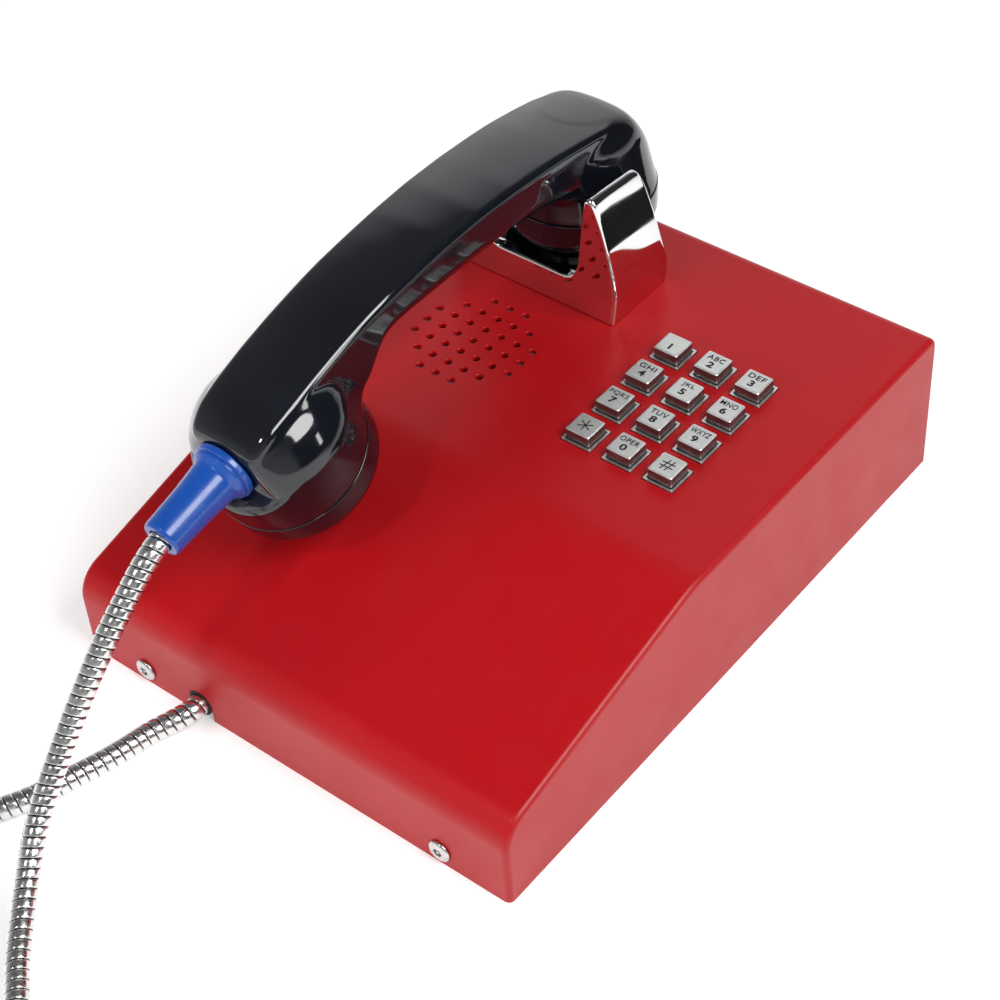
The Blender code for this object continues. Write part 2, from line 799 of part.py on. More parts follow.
def grip_ring(y, top, bottom, half):
    """A section with a crowned top, small top corners and round lower corners."""
    height = top - bottom
    lower = min(0.0085, height * 0.45, half * 0.8)
    upper = min(0.0030, height * 0.3)
    outline = filleted((
        (-half, bottom, lower), (half, bottom, lower), (half, top, upper),
        (half * 0.45, top + CROWN, 0), (-half * 0.45, top + CROWN, 0), (-half, top, upper),
    ), 3)
    return [(CRADLE_X + x, LOW_END + y, z) for x, z in outline]


def capsule_holes(name, centre, axis):
    """Seven sound holes through a cap's face, as one cutter."""
    places = [(0.0, 0.0)]
    for i in range(6):
        places.append((0.010 * math.cos(math.tau * i / 6), 0.010 * math.sin(math.tau * i / 6)))
    frame = aimed(centre, axis)
    placed = [(frame @ Vector((x, y, CAP_HEIGHT)), axis) for x, y in places]
    return rods(name, placed, 0.0018, 0.014, 8, CUTTERS)


def make_cap(name, centre, axis, radius):
    """A cap with a rounded rim, a flat hollow inside and a slightly dished face."""
    wall = 0.0035
    profile = (
        (0.0, CAP_HEIGHT - 0.0010), (radius * 0.55, CAP_HEIGHT - 0.0006),
        (radius * 0.80, CAP_HEIGHT), (radius * 0.91, CAP_HEIGHT - 0.0008),
        (radius * 0.985, CAP_HEIGHT - 0.0032), (radius + 0.0004, CAP_HEIGHT - 0.0070),
        (radius + 0.0002, 0.0030), (radius - 0.0002, GAP),
        (radius - wall, GAP), (radius - wall, CAP_HEIGHT - 0.0042), (0.0, CAP_HEIGHT - 0.0042),
    )
    cap = turned(name, profile, 32, centre, axis, PARTS, black())
    cut(smooth(cap), capsule_holes(name + "_holes", centre, axis))
    return cap


def make_handset():
    shell = loft("handset_shell", [grip_ring(*section) for section in GRIP], PARTS, black())
    ear = turned(
        "ear_bulb",
        ((0.0, 0.0), (EAR_RADIUS, 0.0), (0.0311, -0.0030), (0.0299, -0.0070),
         (0.0284, -0.0115), (0.0266, -0.0165), (0.0246, -0.0225), (0.0215, -0.0275),
         (0.0160, -0.0312), (0.0, -0.0325)),
        32, EAR_CENTRE, EAR_AXIS, CUTTERS,
    )
    mouth = turned(
        "mouth_bulb",
        ((0.0, 0.0), (MOUTH_RADIUS, 0.0), (0.0322, -0.0040), (0.0316, -0.0095),
         (0.0302, -0.0155), (0.0279, -0.0210), (0.0245, -0.0260), (0.0198, -0.0305),
         (0.0130, -0.0340), (0.0, -0.0355)),
        32, MOUTH_CENTRE, MOUTH_AXIS, CUTTERS,
    )
    ear_bore = rods(
        "ear_bore", [(EAR_CENTRE - EAR_AXIS * 0.0050, EAR_AXIS)], 0.0250, 0.0240, 28, CUTTERS
    )
    mouth_bore = rods(
        "mouth_bore", [(MOUTH_CENTRE - MOUTH_AXIS * 0.0030, MOUTH_AXIS)], 0.0215, 0.0200, 28, CUTTERS
    )
    wire_way = tube(
        "wire_way",
        [(CRADLE_X, LOW_END + y, z) for y, z in
         ((0.056, 0.0950), (0.066, 0.1150), (0.080, 0.1255), (0.100, 0.1325), (0.130, 0.1355),
          (0.160, 0.1362), (0.190, 0.1345), (0.215, 0.1290), (0.235, 0.1180), (0.244, 0.1100))],
        0.0060, 2, CUTTERS,
    )
    end_plane = aimed(BOOT_FACE - BOOT_AXIS * 0.0038, BOOT_AXIS)
    end_cut = boxes("end_cut", [((0, 0, 0.020), (0.08, 0.08, 0.040))], CUTTERS)
    end_cut.matrix_world = end_plane
    boot_hole = rods(
        "boot_hole", [(BOOT_FACE - BOOT_AXIS * 0.0080, BOOT_AXIS)], 0.0053, 0.0160, 16, CUTTERS
    )
    join(shell, ear, mouth)
    cut(shell, ear_bore, mouth_bore, wire_way, end_cut, boot_hole)
    smooth(shell)
    make_cap("earpiece_cap", EAR_CENTRE, EAR_AXIS, EAR_RADIUS)
    make_cap("mouthpiece_cap", MOUTH_CENTRE, MOUTH_AXIS, MOUTH_RADIUS)
    make_capsule("receiver_capsule", EAR_CENTRE, EAR_AXIS, 0.0230)
    make_capsule("microphone_capsule", MOUTH_CENTRE, MOUTH_AXIS, 0.0190)
    make_boot()


def make_capsule(name, centre, axis, radius):
    """A sound capsule that stands on its cap's inner face and reaches into the shell."""
    face = CAP_HEIGHT - 0.0042 - GAP
    profile = (
        (0.0, face), (radius * 0.85, face), (radius, face - 0.0015), (radius, 0.0020),
        (radius * 0.60, 0.0010), (radius * 0.60, -0.0040), (0.0, -0.0040),
    )
    return smooth(turned(name, profile, 20, centre, axis, PARTS, grey()))


def make_boot():
    """Blue strain relief: a plug in the handset, a flange, and a tapered sleeve for the cord."""
    bore = CORD_RADIUS + GAP
    profile = (
        (bore, BOOT_LENGTH), (0.0074, BOOT_LENGTH), (0.0079, BOOT_LENGTH - 0.0006),
        (0.0085, 0.0150), (0.0096, 0.0032), (0.0116, 0.0010), (0.0126, -0.0002), (0.0126, -0.0026),
        (0.0120, -0.0035), (0.0050, -0.0035), (0.0050, -0.0100), (0.0, -0.0100),
        (0.0, BOOT_LENGTH - 0.0120), (bore, BOOT_LENGTH - 0.0120),
    )
    return smooth(turned("cord_boot", profile, 20, BOOT_FACE, BOOT_AXIS, PARTS, blue()))


# ---------------------------------------------------------------- cord


def make_cord():
    points = smooth_route(CORD_ROUTE, 120)
    smooth(tube("armoured_cord", points, CORD_RADIUS, 2, PARTS, steel()))
    outer, inner = 0.0056, CORD_RADIUS + GAP
    profile = (
        (inner, 0.0003), (outer, 0.0003), (outer, -SHEET - GAP),
        (0.0067, -SHEET - GAP), (0.0067, -SHEET - 0.0014), (inner, -SHEET - 0.0014),
    )
    grommet = turned(
        "cord_grommet", profile, 20, (CRADLE_X, LOW_END, CORD_EXIT_HEIGHT), (0, -1, 0), PARTS, black()
    )
    flat_foot = slab(
        "grommet_foot", (CRADLE_X, LOW_END), (0.03, 0.03), -0.010, BACK_THICKNESS + GAP, CUTTERS
    )
    cut(smooth(grommet), flat_foot)
    anchor = boxes(
        "cord_anchor",
        [((CRADLE_X, LOW_END + 0.0105, 0.0084), (0.022, 0.010, 0.0132))], PARTS, steel(),
    )
    bore = rods(
        "anchor_bore", [((CRADLE_X, LOW_END + 0.0105, CORD_EXIT_HEIGHT), (0, 1, 0))],
        CORD_RADIUS + GAP, 0.020, 16, CUTTERS,
    )
    cut(anchor, bore)


# ---------------------------------------------------------------- inside


def make_speaker():
    top = HEIGHT - SHEET - GAP
    ring = (
        (0.0225, top), (0.0285, top), (0.0285, top - 0.0020), (0.0225, top - 0.0020)
    )
    centre = (SPEAKER_X, SPEAKER_Y, 0)
    turned("speaker_gasket", ring, 24, centre, (0, 0, 1), PARTS, grey())
    rim = top - 0.0020 - GAP
    profile = (
        (0.0, rim - 0.0080), (0.0080, rim - 0.0075), (0.0225, rim), (0.0285, rim),
        (0.0285, rim - 0.0015), (0.0240, rim - 0.0020), (0.0150, rim - 0.0130),
        (0.0150, rim - 0.0210), (0.0, rim - 0.0210),
    )
    smooth(turned("loudspeaker", profile, 24, centre, (0, 0, 1), PARTS, black()))
    bar_top = rim - 0.0210 - GAP
    bar = slab(
        "speaker_clamp", (SPEAKER_X, SPEAKER_Y), (0.078, 0.012), bar_top - 0.0015, bar_top,
        PARTS, steel(),
    )
    stud_holes = rods(
        "clamp_holes", [((x, y, bar_top), (0, 0, 1)) for x, y in speaker_stud_places()],
        STUD_RADIUS + GAP, 0.008, 10, CUTTERS,
    )
    cut(bar, stud_holes)
    for number, (x, y) in enumerate(speaker_stud_places(), 1):
        make_stud(f"speaker_stud_{number}", x, y, bar_top - 0.0015 - GAP)


LINE_BOARD = (0.035, LOW_END + 0.068)
LINE_BOARD_SIZE = (0.100, 0.070)
LINE_BOARD_LOW = 0.0125
LINE_BOARD_HIGH = 0.0141


def make_line_board():
    x0, y0 = LINE_BOARD
    board = slab(
        "main_board", LINE_BOARD, LINE_BOARD_SIZE, LINE_BOARD_LOW, LINE_BOARD_HIGH,
        PARTS, board_green(),
    )
    posts = [(x0 + x * 0.045, y0 + y * 0.030) for x in (-1, 1) for y in (-1, 1)]
    cut(board, rods(
        "post_holes", [((x, y, LINE_BOARD_LOW), (0, 0, 1)) for x, y in posts],
        0.0017, 0.010, 10, CUTTERS,
    ))
    profile = (
        (0.0, 0.0165), (0.0013, 0.0160), (0.0013, LINE_BOARD_LOW - GAP),
        (0.0030, LINE_BOARD_LOW - GAP), (0.0030, BACK_THICKNESS + GAP), (0.0, BACK_THICKNESS + GAP),
    )
    for number, (x, y) in enumerate(posts, 1):
        turned(f"board_post_{number}", profile, 10, (x, y, 0), (0, 0, 1), PARTS, grey())
    seat = LINE_BOARD_HIGH + GAP
    bevel(slab(
        "line_transformer", (x0 + 0.022, y0 + 0.008), (0.026, 0.022), seat, seat + 0.018,
        PARTS, black(),
    ), 0.001)
    block = slab(
        "terminal_block", (x0 - 0.030, y0 - 0.018), (0.030, 0.011), seat, seat + 0.012,
        PARTS, board_green(),
    )
    cut(block, rods(
        "terminal_recesses",
        [((x0 - 0.030 + x * 0.005, y0 - 0.018, seat + 0.012), (0, 0, 1)) for x in range(-2, 3)],
        0.0017, 0.008, 8, CUTTERS,
    ))


def strip_outline(path, thickness):
    """A band of this thickness along a path of (y, z) points."""
    path = [Vector(p) for p in path]
    normals = []
    for i in range(len(path)):
        along = (path[min(i + 1, len(path) - 1)] - path[max(i - 1, 0)]).normalized()
        normals.append(Vector((-along.y, along.x)) * thickness / 2)
    near = [p + n for p, n in zip(path, normals)]
    far = [p - n for p, n in zip(path, normals)]
    return [tuple(p) for p in near + far[::-1]]


def make_inside_leads():
    seat = LINE_BOARD_HIGH + GAP
    path = (
        (LOW_END + 0.1560, BOARD_BOTTOM - GAP), (LOW_END + 0.1555, 0.046),
        (LOW_END + 0.1480, 0.038), (LOW_END + 0.1320, 0.033), (LOW_END + 0.1100, 0.030),
        (LOW_END + 0.0980, 0.026), (LOW_END + 0.0960, seat),
    )
    extruded(
        "keypad_cable", strip_outline(path, 0.0010), 0.018, side_frame(KEYPAD_X), PARTS, grey()
    )
    speaker_wires = (
        (-0.0453, LOW_END + 0.1480, 0.0440), (-0.0430, LOW_END + 0.1380, 0.0380),
        (-0.0300, LOW_END + 0.1200, 0.0300), (-0.0180, LOW_END + 0.1040, 0.0240),
        (-0.0070, LOW_END + 0.0900, 0.0210), (-0.0040, LOW_END + 0.0860, seat + 0.0030),
        (-0.0040, LOW_END + 0.0860, seat + GAP),
    )
    smooth(tube(
        "speaker_cable", smooth_route(speaker_wires, 14), 0.0012, 1, PARTS, red()
    ))
    handset_wires = (
        (CRADLE_X, LOW_END + 0.0165, 0.0072), (-0.0420, LOW_END + 0.0240, 0.0090),
        (-0.0340, LOW_END + 0.0330, 0.0150), (-0.0230, LOW_END + 0.0400, 0.0200),
        (-0.0140, LOW_END + 0.0430, 0.0190),
    )
    smooth(tube(
        "handset_leads", smooth_route(handset_wires, 12), 0.0016, 1, PARTS, grey()
    ))


def main():
    global PARTS, CUTTERS
    clear_scene()
    PARTS = new_collection("armoured_telephone")
    CUTTERS = new_collection("cutters")
    make_housing()
    make_back_plate()
    make_security_screws()
    make_keypad()
    make_keys()
    make_cradle()
    make_hook()
    make_handset()
    make_cord()
    make_speaker()
    make_line_board()
    make_inside_leads()


main()
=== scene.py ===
import json
import math

import bmesh
import bpy
import numpy as np
from mathutils import Matrix, Vector


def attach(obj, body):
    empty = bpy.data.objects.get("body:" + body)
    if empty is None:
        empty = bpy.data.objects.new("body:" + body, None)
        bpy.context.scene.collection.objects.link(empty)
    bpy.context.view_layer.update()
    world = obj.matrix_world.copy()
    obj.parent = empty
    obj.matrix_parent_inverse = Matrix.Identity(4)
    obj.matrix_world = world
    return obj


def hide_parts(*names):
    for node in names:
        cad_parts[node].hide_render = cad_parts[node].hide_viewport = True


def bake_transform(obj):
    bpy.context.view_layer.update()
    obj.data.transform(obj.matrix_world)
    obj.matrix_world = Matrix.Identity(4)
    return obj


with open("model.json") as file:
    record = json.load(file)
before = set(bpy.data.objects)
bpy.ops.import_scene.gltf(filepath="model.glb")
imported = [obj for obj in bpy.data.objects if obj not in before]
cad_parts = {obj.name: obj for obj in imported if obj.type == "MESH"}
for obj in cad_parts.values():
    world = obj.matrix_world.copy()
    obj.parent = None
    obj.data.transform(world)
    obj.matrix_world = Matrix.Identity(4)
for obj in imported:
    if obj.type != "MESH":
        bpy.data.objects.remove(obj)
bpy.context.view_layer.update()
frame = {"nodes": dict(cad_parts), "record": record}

# ------------ sizes, as in the record (metres)

HEIGHT = 0.067
LOW_HEIGHT = 0.039
SLOPE_LENGTH = 0.112
WIDTH = 0.210
LENGTH = 0.280
LOW_END = -LENGTH / 2
HIGH_END = LENGTH / 2
SHEET = 0.002
SLOPE = math.atan2(HEIGHT - LOW_HEIGHT, SLOPE_LENGTH)

HOLE_PITCH = 0.008
HOLE_ROWS = (3, 5, 7, 7, 7, 5, 3)
SPEAKER = (-0.0453, LOW_END + 0.1721)
KEYPAD = (0.0448, LOW_END + 0.1818)
KEY_PITCH = 0.0192
KEY_RISE = 0.0054
COLLAR_RISE = 0.0005
KEY_NAMES = ("1", "2", "3", "4", "5", "6", "7", "8", "9", "star", "0", "hash")
LETTERS = {
    "2": "ABC", "3": "DEF", "4": "GHI", "5": "JKL", "6": "MNO",
    "7": "PQRS", "8": "TUV", "9": "WXYZ", "0": "OPER",
}

CRADLE_X = -0.0446
CRADLE_FRONT = 0.2105
CRADLE_BACK = 0.2478
DECK = 0.0155
HOOK_PLACE = 0.2290
HOOK_HOLE = 0.0040
SCREW_X = 0.0735
SCREW_Z = 0.0073

EAR_CENTRE = Vector((CRADLE_X, LOW_END + 0.2440, 0.1028))
EAR_AXIS = Vector((0, 0, -1))
EAR_RADIUS = 0.0316
MOUTH_TILT = math.radians(28.3)
MOUTH_CENTRE = Vector((CRADLE_X, LOW_END + 0.0635, 0.0912))
MOUTH_AXIS = Vector((0, math.sin(MOUTH_TILT), -math.cos(MOUTH_TILT)))
MOUTH_RADIUS = 0.0324
BOOT_TILT = math.radians(12.5)
BOOT_FACE = Vector((CRADLE_X, LOW_END + 0.0305, 0.1040))
BOOT_AXIS = Vector((0, -math.cos(BOOT_TILT), -math.sin(BOOT_TILT)))
BOOT_LENGTH = 0.0335
CAP_HEIGHT = 0.0162

CORD_RADIUS = 0.0046
CORD_Z = 0.0070
CORD_ROUTE = (
    (-0.0446, -0.1270, 0.0070), (-0.0446, -0.1360, 0.0070), (-0.0446, -0.1420, 0.0070),
    (-0.0450, -0.1455, 0.0067), (-0.0475, -0.1520, 0.0060), (-0.0515, -0.1620, 0.0051),
    (-0.0547, -0.1750, 0.0047), (-0.0585, -0.1880, 0.0047), (-0.0680, -0.2140, 0.0047),
    (-0.0860, -0.2400, 0.0047), (-0.1080, -0.2680, 0.0047), (-0.1250, -0.3000, 0.0047),
    (-0.1270, -0.3551, 0.0047), (-0.1130, -0.4053, 0.0047), (-0.0860, -0.4409, 0.0047),
    (-0.0530, -0.4539, 0.0047), (-0.0200, -0.4442, 0.0047), (0.0060, -0.4118, 0.0047),
    (0.0190, -0.3648, 0.0047), (0.0170, -0.3162, 0.0048), (0.0030, -0.2830, 0.0062),
    (-0.0150, -0.2620, 0.0100), (-0.0290, -0.2430, 0.0170), (-0.0365, -0.2290, 0.0270),
    (-0.0405, -0.2170, 0.0360), (-0.0430, -0.2030, 0.0480), (-0.0440, -0.1870, 0.0635),
    (-0.0443, -0.1750, 0.0745), (-0.0445, -0.1620, 0.0845), (-0.0446, -0.1520, 0.0918),
    (-0.0446, -0.1445, 0.0958), (-0.0446, -0.1410, 0.0970), (-0.0446, -0.1380, 0.0977),
    (-0.0446, -0.1325, 0.0989),
)

# ------------ camera

CAMERA_PLACE = (0.43267, -0.50133, 0.67558)
CAMERA_ANGLES = (41.39, 44.32, -4.27)  # azimuth, elevation, roll in degrees
CAMERA_LENS = 83.93


def towards(azimuth, elevation):
    """A direction out from the middle: azimuth 0 is the low end, 90 the right side."""
    a, e = math.radians(azimuth), math.radians(elevation)
    return Vector((math.sin(a) * math.cos(e), -math.cos(a) * math.cos(e), math.sin(e)))


def make_camera():
    azimuth, elevation, roll = CAMERA_ANGLES
    back = towards(azimuth, elevation)
    right = (-back).cross(Vector((0, 0, 1))).normalized()
    up = right.cross(-back)
    roll = math.radians(roll)
    across = math.cos(roll) * right + math.sin(roll) * up
    upward = -math.sin(roll) * right + math.cos(roll) * up
    camera = bpy.data.objects.new("camera", bpy.data.cameras.new("camera"))
    camera.data.lens = CAMERA_LENS
    camera.data.sensor_width = 36
    camera.data.clip_end = 50
    matrix = Matrix((across, upward, back)).transposed().to_4x4()
    matrix.translation = CAMERA_PLACE
    camera.matrix_world = matrix
    bpy.context.scene.collection.objects.link(camera)
    bpy.context.scene.camera = camera


make_camera()

# ------------ materials


class Tree:
    """A node tree, with short ways to add nodes to it."""

    def __init__(self, owner):
        owner.use_nodes = True
        self.tree = owner.node_tree

    def add(self, kind, **settings):
        node = self.tree.nodes.new(kind)
        for key, value in settings.items():
            setattr(node, key, value)
        return node

    def link(self, out, into):
        self.tree.links.new(out, into)

    def ramp(self, value, stops):
        node = self.add("ShaderNodeValToRGB")
        elements = node.color_ramp.elements
        while len(elements) < len(stops):
            elements.new(0.5)
        for element, (at, colour) in zip(elements, stops):
            element.position = at
            element.color = (*colour, 1)
        self.link(value, node.inputs["Fac"])
        return node.outputs["Color"]

    def mixed(self, factor, first, second):
        """Factor 0 gives the first colour, 1 the second; the second may be a constant."""
        node = self.add("ShaderNodeMix", data_type="RGBA")
        self.link(factor, node.inputs["Factor"])
        self.link(first, node.inputs["A"])
        if isinstance(second, tuple):
            node.inputs["B"].default_value = (*second, 1)
        else:
            self.link(second, node.inputs["B"])
        return node.outputs["Result"]


class Nodes(Tree):
    """A material's node tree; its patterns are fixed to the object."""

    def __init__(self, name):
        self.material = bpy.data.materials.new(name)
        super().__init__(self.material)
        self.shader = self.tree.nodes["Principled BSDF"]

    def place(self, scale=(1, 1, 1)):
        where = self.add("ShaderNodeTexCoord")
        mapping = self.add("ShaderNodeMapping")
        mapping.inputs["Scale"].default_value = scale
        self.link(where.outputs["Object"], mapping.inputs["Vector"])
        return mapping.outputs["Vector"]

    def noise(self, scale, detail=2.0, rough=0.5, vector=None):
        node = self.add("ShaderNodeTexNoise")
        node.inputs["Scale"].default_value = scale
        node.inputs["Detail"].default_value = detail
        node.inputs["Roughness"].default_value = rough
        self.link(vector or self.place(), node.inputs["Vector"])
        return node.outputs["Fac"]

    def spread(self, value, low, high, start=0.3, end=0.7):
        node = self.add("ShaderNodeMapRange")
        ends = {"From Min": start, "From Max": end, "To Min": low, "To Max": high}
        for name, number in ends.items():
            node.inputs[name].default_value = number
        self.link(value, node.inputs["Value"])
        return node.outputs["Result"]

    def bump(self, value, strength, distance, onto=None):
        node = self.add("ShaderNodeBump")
        node.inputs["Strength"].default_value = strength
        node.inputs["Distance"].default_value = distance
        self.link(value, node.inputs["Height"])
        if onto:
            self.link(onto, node.inputs["Normal"])
        return node.outputs["Normal"]

    def set(self, **values):
        for name, value in values.items():
            self.shader.inputs[name.replace("_", " ")].default_value = value

    def colour(self, out):
        self.link(out, self.shader.inputs["Base Color"])

    def roughness(self, out):
        self.link(out, self.shader.inputs["Roughness"])

    def normal(self, out):
        self.link(out, self.shader.inputs["Normal"])


def powder_coat():
    n = Nodes("red_powder_coat_look")
    cloud = n.noise(9.0, 3.0)
    n.colour(n.ramp(cloud, ((0.30, (0.350, 0.0028, 0.0052)), (0.72, (0.378, 0.0034, 0.0062)))))
    peel = n.noise(650.0, 2.0, 0.55)
    n.roughness(n.spread(n.noise(60.0, 3.0), 0.33, 0.42))
    fine = n.bump(peel, 0.32, 0.00012)
    n.normal(n.bump(n.noise(140.0, 1.0), 0.10, 0.0002, fine))
    n.set(Specular_IOR_Level=0.32)
    return n.material


def chrome_plate():
    n = Nodes("chrome_plate_look")
    n.set(Metallic=1.0)
    n.colour(n.ramp(n.noise(24.0), ((0.3, (0.74, 0.75, 0.75)), (0.7, (0.81, 0.82, 0.81)))))
    n.roughness(n.spread(n.noise(45.0, 4.0, 0.65), 0.025, 0.075))
    n.normal(n.bump(n.noise(38.0, 1.0), 0.05, 0.0006))
    return n.material


def satin_metal(name, light, dark, low, high):
    n = Nodes(name)
    n.set(Metallic=1.0)
    brushed = n.noise(420.0, 3.0, 0.6)
    n.colour(n.ramp(brushed, ((0.32, dark), (0.68, light))))
    n.roughness(n.spread(brushed, low, high))
    n.normal(n.bump(brushed, 0.12, 0.00004))
    return n.material


def key_metal():
    """Satin metal painted near black on the sides and near white on the tops and upper edges, by
    which way each face points: painted shade and painted highlight.
    """
    n = Nodes("key_metal_painted_light_look")
    n.set(Metallic=1.0)
    brushed = n.noise(420.0, 3.0, 0.6, n.place((0.5, 1, 1)))
    facing = n.add("ShaderNodeNewGeometry")
    split = n.add("ShaderNodeSeparateXYZ")
    n.link(facing.outputs["Normal"], split.inputs[0])
    # How far each face points up sets the share of painted highlight against painted shade.
    upward = n.spread(split.outputs["Z"], 0.0, 1.0, 0.08, 0.50)
    # Painted shade on the sides is near black; the painted highlight on the tops is near white.
    painted_shade_flank = n.ramp(brushed, ((0.32, (0.19, 0.18, 0.18)), (0.68, (0.26, 0.25, 0.25))))
    top = n.ramp(brushed, ((0.32, (0.88, 0.90, 0.87)), (0.68, (0.95, 0.97, 0.94))))
    n.colour(n.mixed(upward, painted_shade_flank, top))
    n.roughness(n.spread(brushed, 0.34, 0.44))
    n.normal(n.bump(brushed, 0.12, 0.00004))
    return n.material


def zinc_steel():
    n = Nodes("steel_look")
    n.set(Metallic=1.0)
    spangle = n.add("ShaderNodeTexVoronoi")
    spangle.inputs["Scale"].default_value = 110.0
    n.link(n.place(), spangle.inputs["Vector"])
    n.colour(n.ramp(spangle.outputs["Color"], (
        (0.15, (0.50, 0.51, 0.52)), (0.85, (0.66, 0.67, 0.68)),
    )))
    n.roughness(n.spread(n.noise(180.0, 3.0), 0.30, 0.48))
    n.normal(n.bump(n.noise(500.0), 0.10, 0.00005))
    return n.material


def hose_steel():
    n = Nodes("hose_steel_groove_shade_look")
    n.set(Metallic=1.0)
    groove_shade = n.add("ShaderNodeAttribute", attribute_name="groove_shade")
    drawn = n.noise(700.0, 3.0, 0.6)
    worn = n.ramp(drawn, ((0.3, (0.66, 0.66, 0.66)), (0.7, (0.80, 0.80, 0.79))))
    # Painted shade: the sunk turns of the hose are painted near black.
    n.colour(n.mixed(groove_shade.outputs["Fac"], worn, (0.10, 0.095, 0.09)))
    n.roughness(n.spread(drawn, 0.16, 0.30))
    n.normal(n.bump(drawn, 0.10, 0.00004))
    return n.material


def plastic(name, dark, light, low, high, bump=0.04, bump_scale=300.0, coat=0.0, cloud=30.0):
    n = Nodes(name)
    n.colour(n.ramp(n.noise(cloud, 3.0), ((0.3, dark), (0.7, light))))
    n.roughness(n.spread(n.noise(90.0, 4.0, 0.65), low, high))
    n.normal(n.bump(n.noise(bump_scale, 2.0), bump, 0.0001))
    n.set(Coat_Weight=coat, Coat_Roughness=0.03)
    return n.material


def circuit_board():
    n = Nodes("board_look")
    tracks = n.add("ShaderNodeTexBrick")
    tracks.inputs["Scale"].default_value = 260.0
    tracks.inputs["Mortar Size"].default_value = 0.03
    tracks.inputs["Color1"].default_value = (0.012, 0.085, 0.035, 1)
    tracks.inputs["Color2"].default_value = (0.016, 0.11, 0.045, 1)
    tracks.inputs["Mortar"].default_value = (0.05, 0.20, 0.09, 1)
    n.link(n.place(), tracks.inputs["Vector"])
    n.colour(tracks.outputs["Color"])
    n.roughness(n.spread(n.noise(200.0), 0.28, 0.42))
    n.normal(n.bump(n.noise(350.0), 0.10, 0.00005))
    return n.material


RED = powder_coat()
CHROME = chrome_plate()
BEZEL = satin_metal("bezel_metal_look", (0.90, 0.89, 0.87), (0.82, 0.81, 0.80), 0.30, 0.40)
KEY = key_metal()
STEEL = zinc_steel()
SCREW = satin_metal("screw_steel_look", (0.72, 0.72, 0.71), (0.52, 0.52, 0.52), 0.20, 0.36)
HOSE = hose_steel()
BLACK = plastic(
    "black_plastic_look", (0.0040, 0.0048, 0.0075), (0.0062, 0.0074, 0.0115), 0.055, 0.115,
    0.012, 120.0, 0.35,
)
INNER = plastic(
    "inner_plastic_look", (0.020, 0.020, 0.022), (0.034, 0.034, 0.036), 0.40, 0.58, 0.12
)
BLUE = plastic(
    "blue_boot_look", (0.004, 0.050, 0.275), (0.006, 0.064, 0.330), 0.20, 0.32, 0.05, 260.0, 0.15
)
DARK = plastic("dark_rubber_look", (0.012, 0.012, 0.013), (0.024, 0.024, 0.025), 0.55, 0.75, 0.20)
GREY = plastic("grey_rubber_look", (0.050, 0.050, 0.052), (0.075, 0.075, 0.078), 0.50, 0.68, 0.15)
BOARD = circuit_board()
INK = plastic("legend_ink_look", (0.003, 0.003, 0.003), (0.006, 0.006, 0.006), 0.60, 0.75, 0.05)

LOOKS = {
    "red_powder_coat": RED, "chrome_plate": CHROME, "bezel_metal": BEZEL, "key_metal": KEY,
    "steel": STEEL, "hose_steel": HOSE, "black_plastic": BLACK, "inner_plastic": INNER,
    "blue_boot": BLUE, "dark_rubber": DARK, "grey_rubber": GREY, "board_green": BOARD,
}


def dress_cad_nodes():
    """Every carried-over CAD node gets the look of its material slot in the record."""
    slot_of = {part["node"]: part.get("material_slot") for part in frame["record"]["subparts"]}
    for name, node in frame["nodes"].items():
        look = LOOKS.get(slot_of.get(name), STEEL)
        node.data.materials.clear()
        node.data.materials.append(look)


# ------------ mesh tools


def linked(name, mesh, look):
    obj = bpy.data.objects.new(name, mesh)
    bpy.context.scene.collection.objects.link(obj)
    mesh.materials.clear()
    mesh.materials.append(look)
    return obj


def from_bmesh(name, bm, look):
    mesh = bpy.data.meshes.new(name)
    bm.to_mesh(mesh)
    bm.free()
    return linked(name, mesh, look)


def smooth(obj, angle=32):
    mesh = obj.data
    mesh.polygons.foreach_set("use_smooth", [True] * len(mesh.polygons))
    mesh.set_sharp_from_angle(angle=math.radians(angle))
    return obj


def baked(obj):
    """Applies the object's modifiers."""
    graph = bpy.context.evaluated_depsgraph_get()
    mesh = bpy.data.meshes.new_from_object(obj.evaluated_get(graph))
    obj.modifiers.clear()
    obj.data = mesh
    return obj


def boolean(obj, operation, *others):
    for other in others:
        step = obj.modifiers.new("step", "BOOLEAN")
        step.operation = operation
        step.solver = "EXACT"
        step.object = other
    baked(obj)
    for other in others:
        bpy.data.objects.remove(other)
    return obj


def finish_edges(obj, width):
    step = obj.modifiers.new("edges", "BEVEL")
    step.width = width
    step.segments = 2
    step.limit_method = "ANGLE"
    step.angle_limit = math.radians(35)
    return baked(obj)


def weigh_normals(obj):
    step = obj.modifiers.new("normals", "WEIGHTED_NORMAL")
    step.keep_sharp = True
    step.weight = 60
    return baked(obj)


def rounded(corners, steps):
    """An outline whose corners (x, y, radius) are rounded."""
    points = []
    for i, (x, y, radius) in enumerate(corners):
        here = Vector((x, y))
        if radius <= 0:
            points.append(here)
            continue
        before = (Vector(corners[i - 1][:2]) - here).normalized()
        after = (Vector(corners[(i + 1) % len(corners)][:2]) - here).normalized()
        half = before.angle(after) / 2
        centre = here + (before + after).normalized() * (radius / math.sin(half))
        first = here + before * (radius / math.tan(half)) - centre
        last = here + after * (radius / math.tan(half)) - centre
        start = math.atan2(first.y, first.x)
        turn = (math.atan2(last.y, last.x) - start + math.pi) % math.tau - math.pi
        for k in range(steps + 1):
            angle = start + turn * k / steps
            points.append(centre + radius * Vector((math.cos(angle), math.sin(angle))))
    return points


def skin(bm, rings):
    """Adds a closed skin over rings of the same number of points."""
    rows = [[bm.verts.new(p) for p in ring] for ring in rings]
    for a, b in zip(rows, rows[1:]):
        for i in range(len(a)):
            j = (i + 1) % len(a)
            bm.faces.new((a[i], a[j], b[j], b[i]))
    bm.faces.new(rows[0][::-1])
    bm.faces.new(rows[-1])


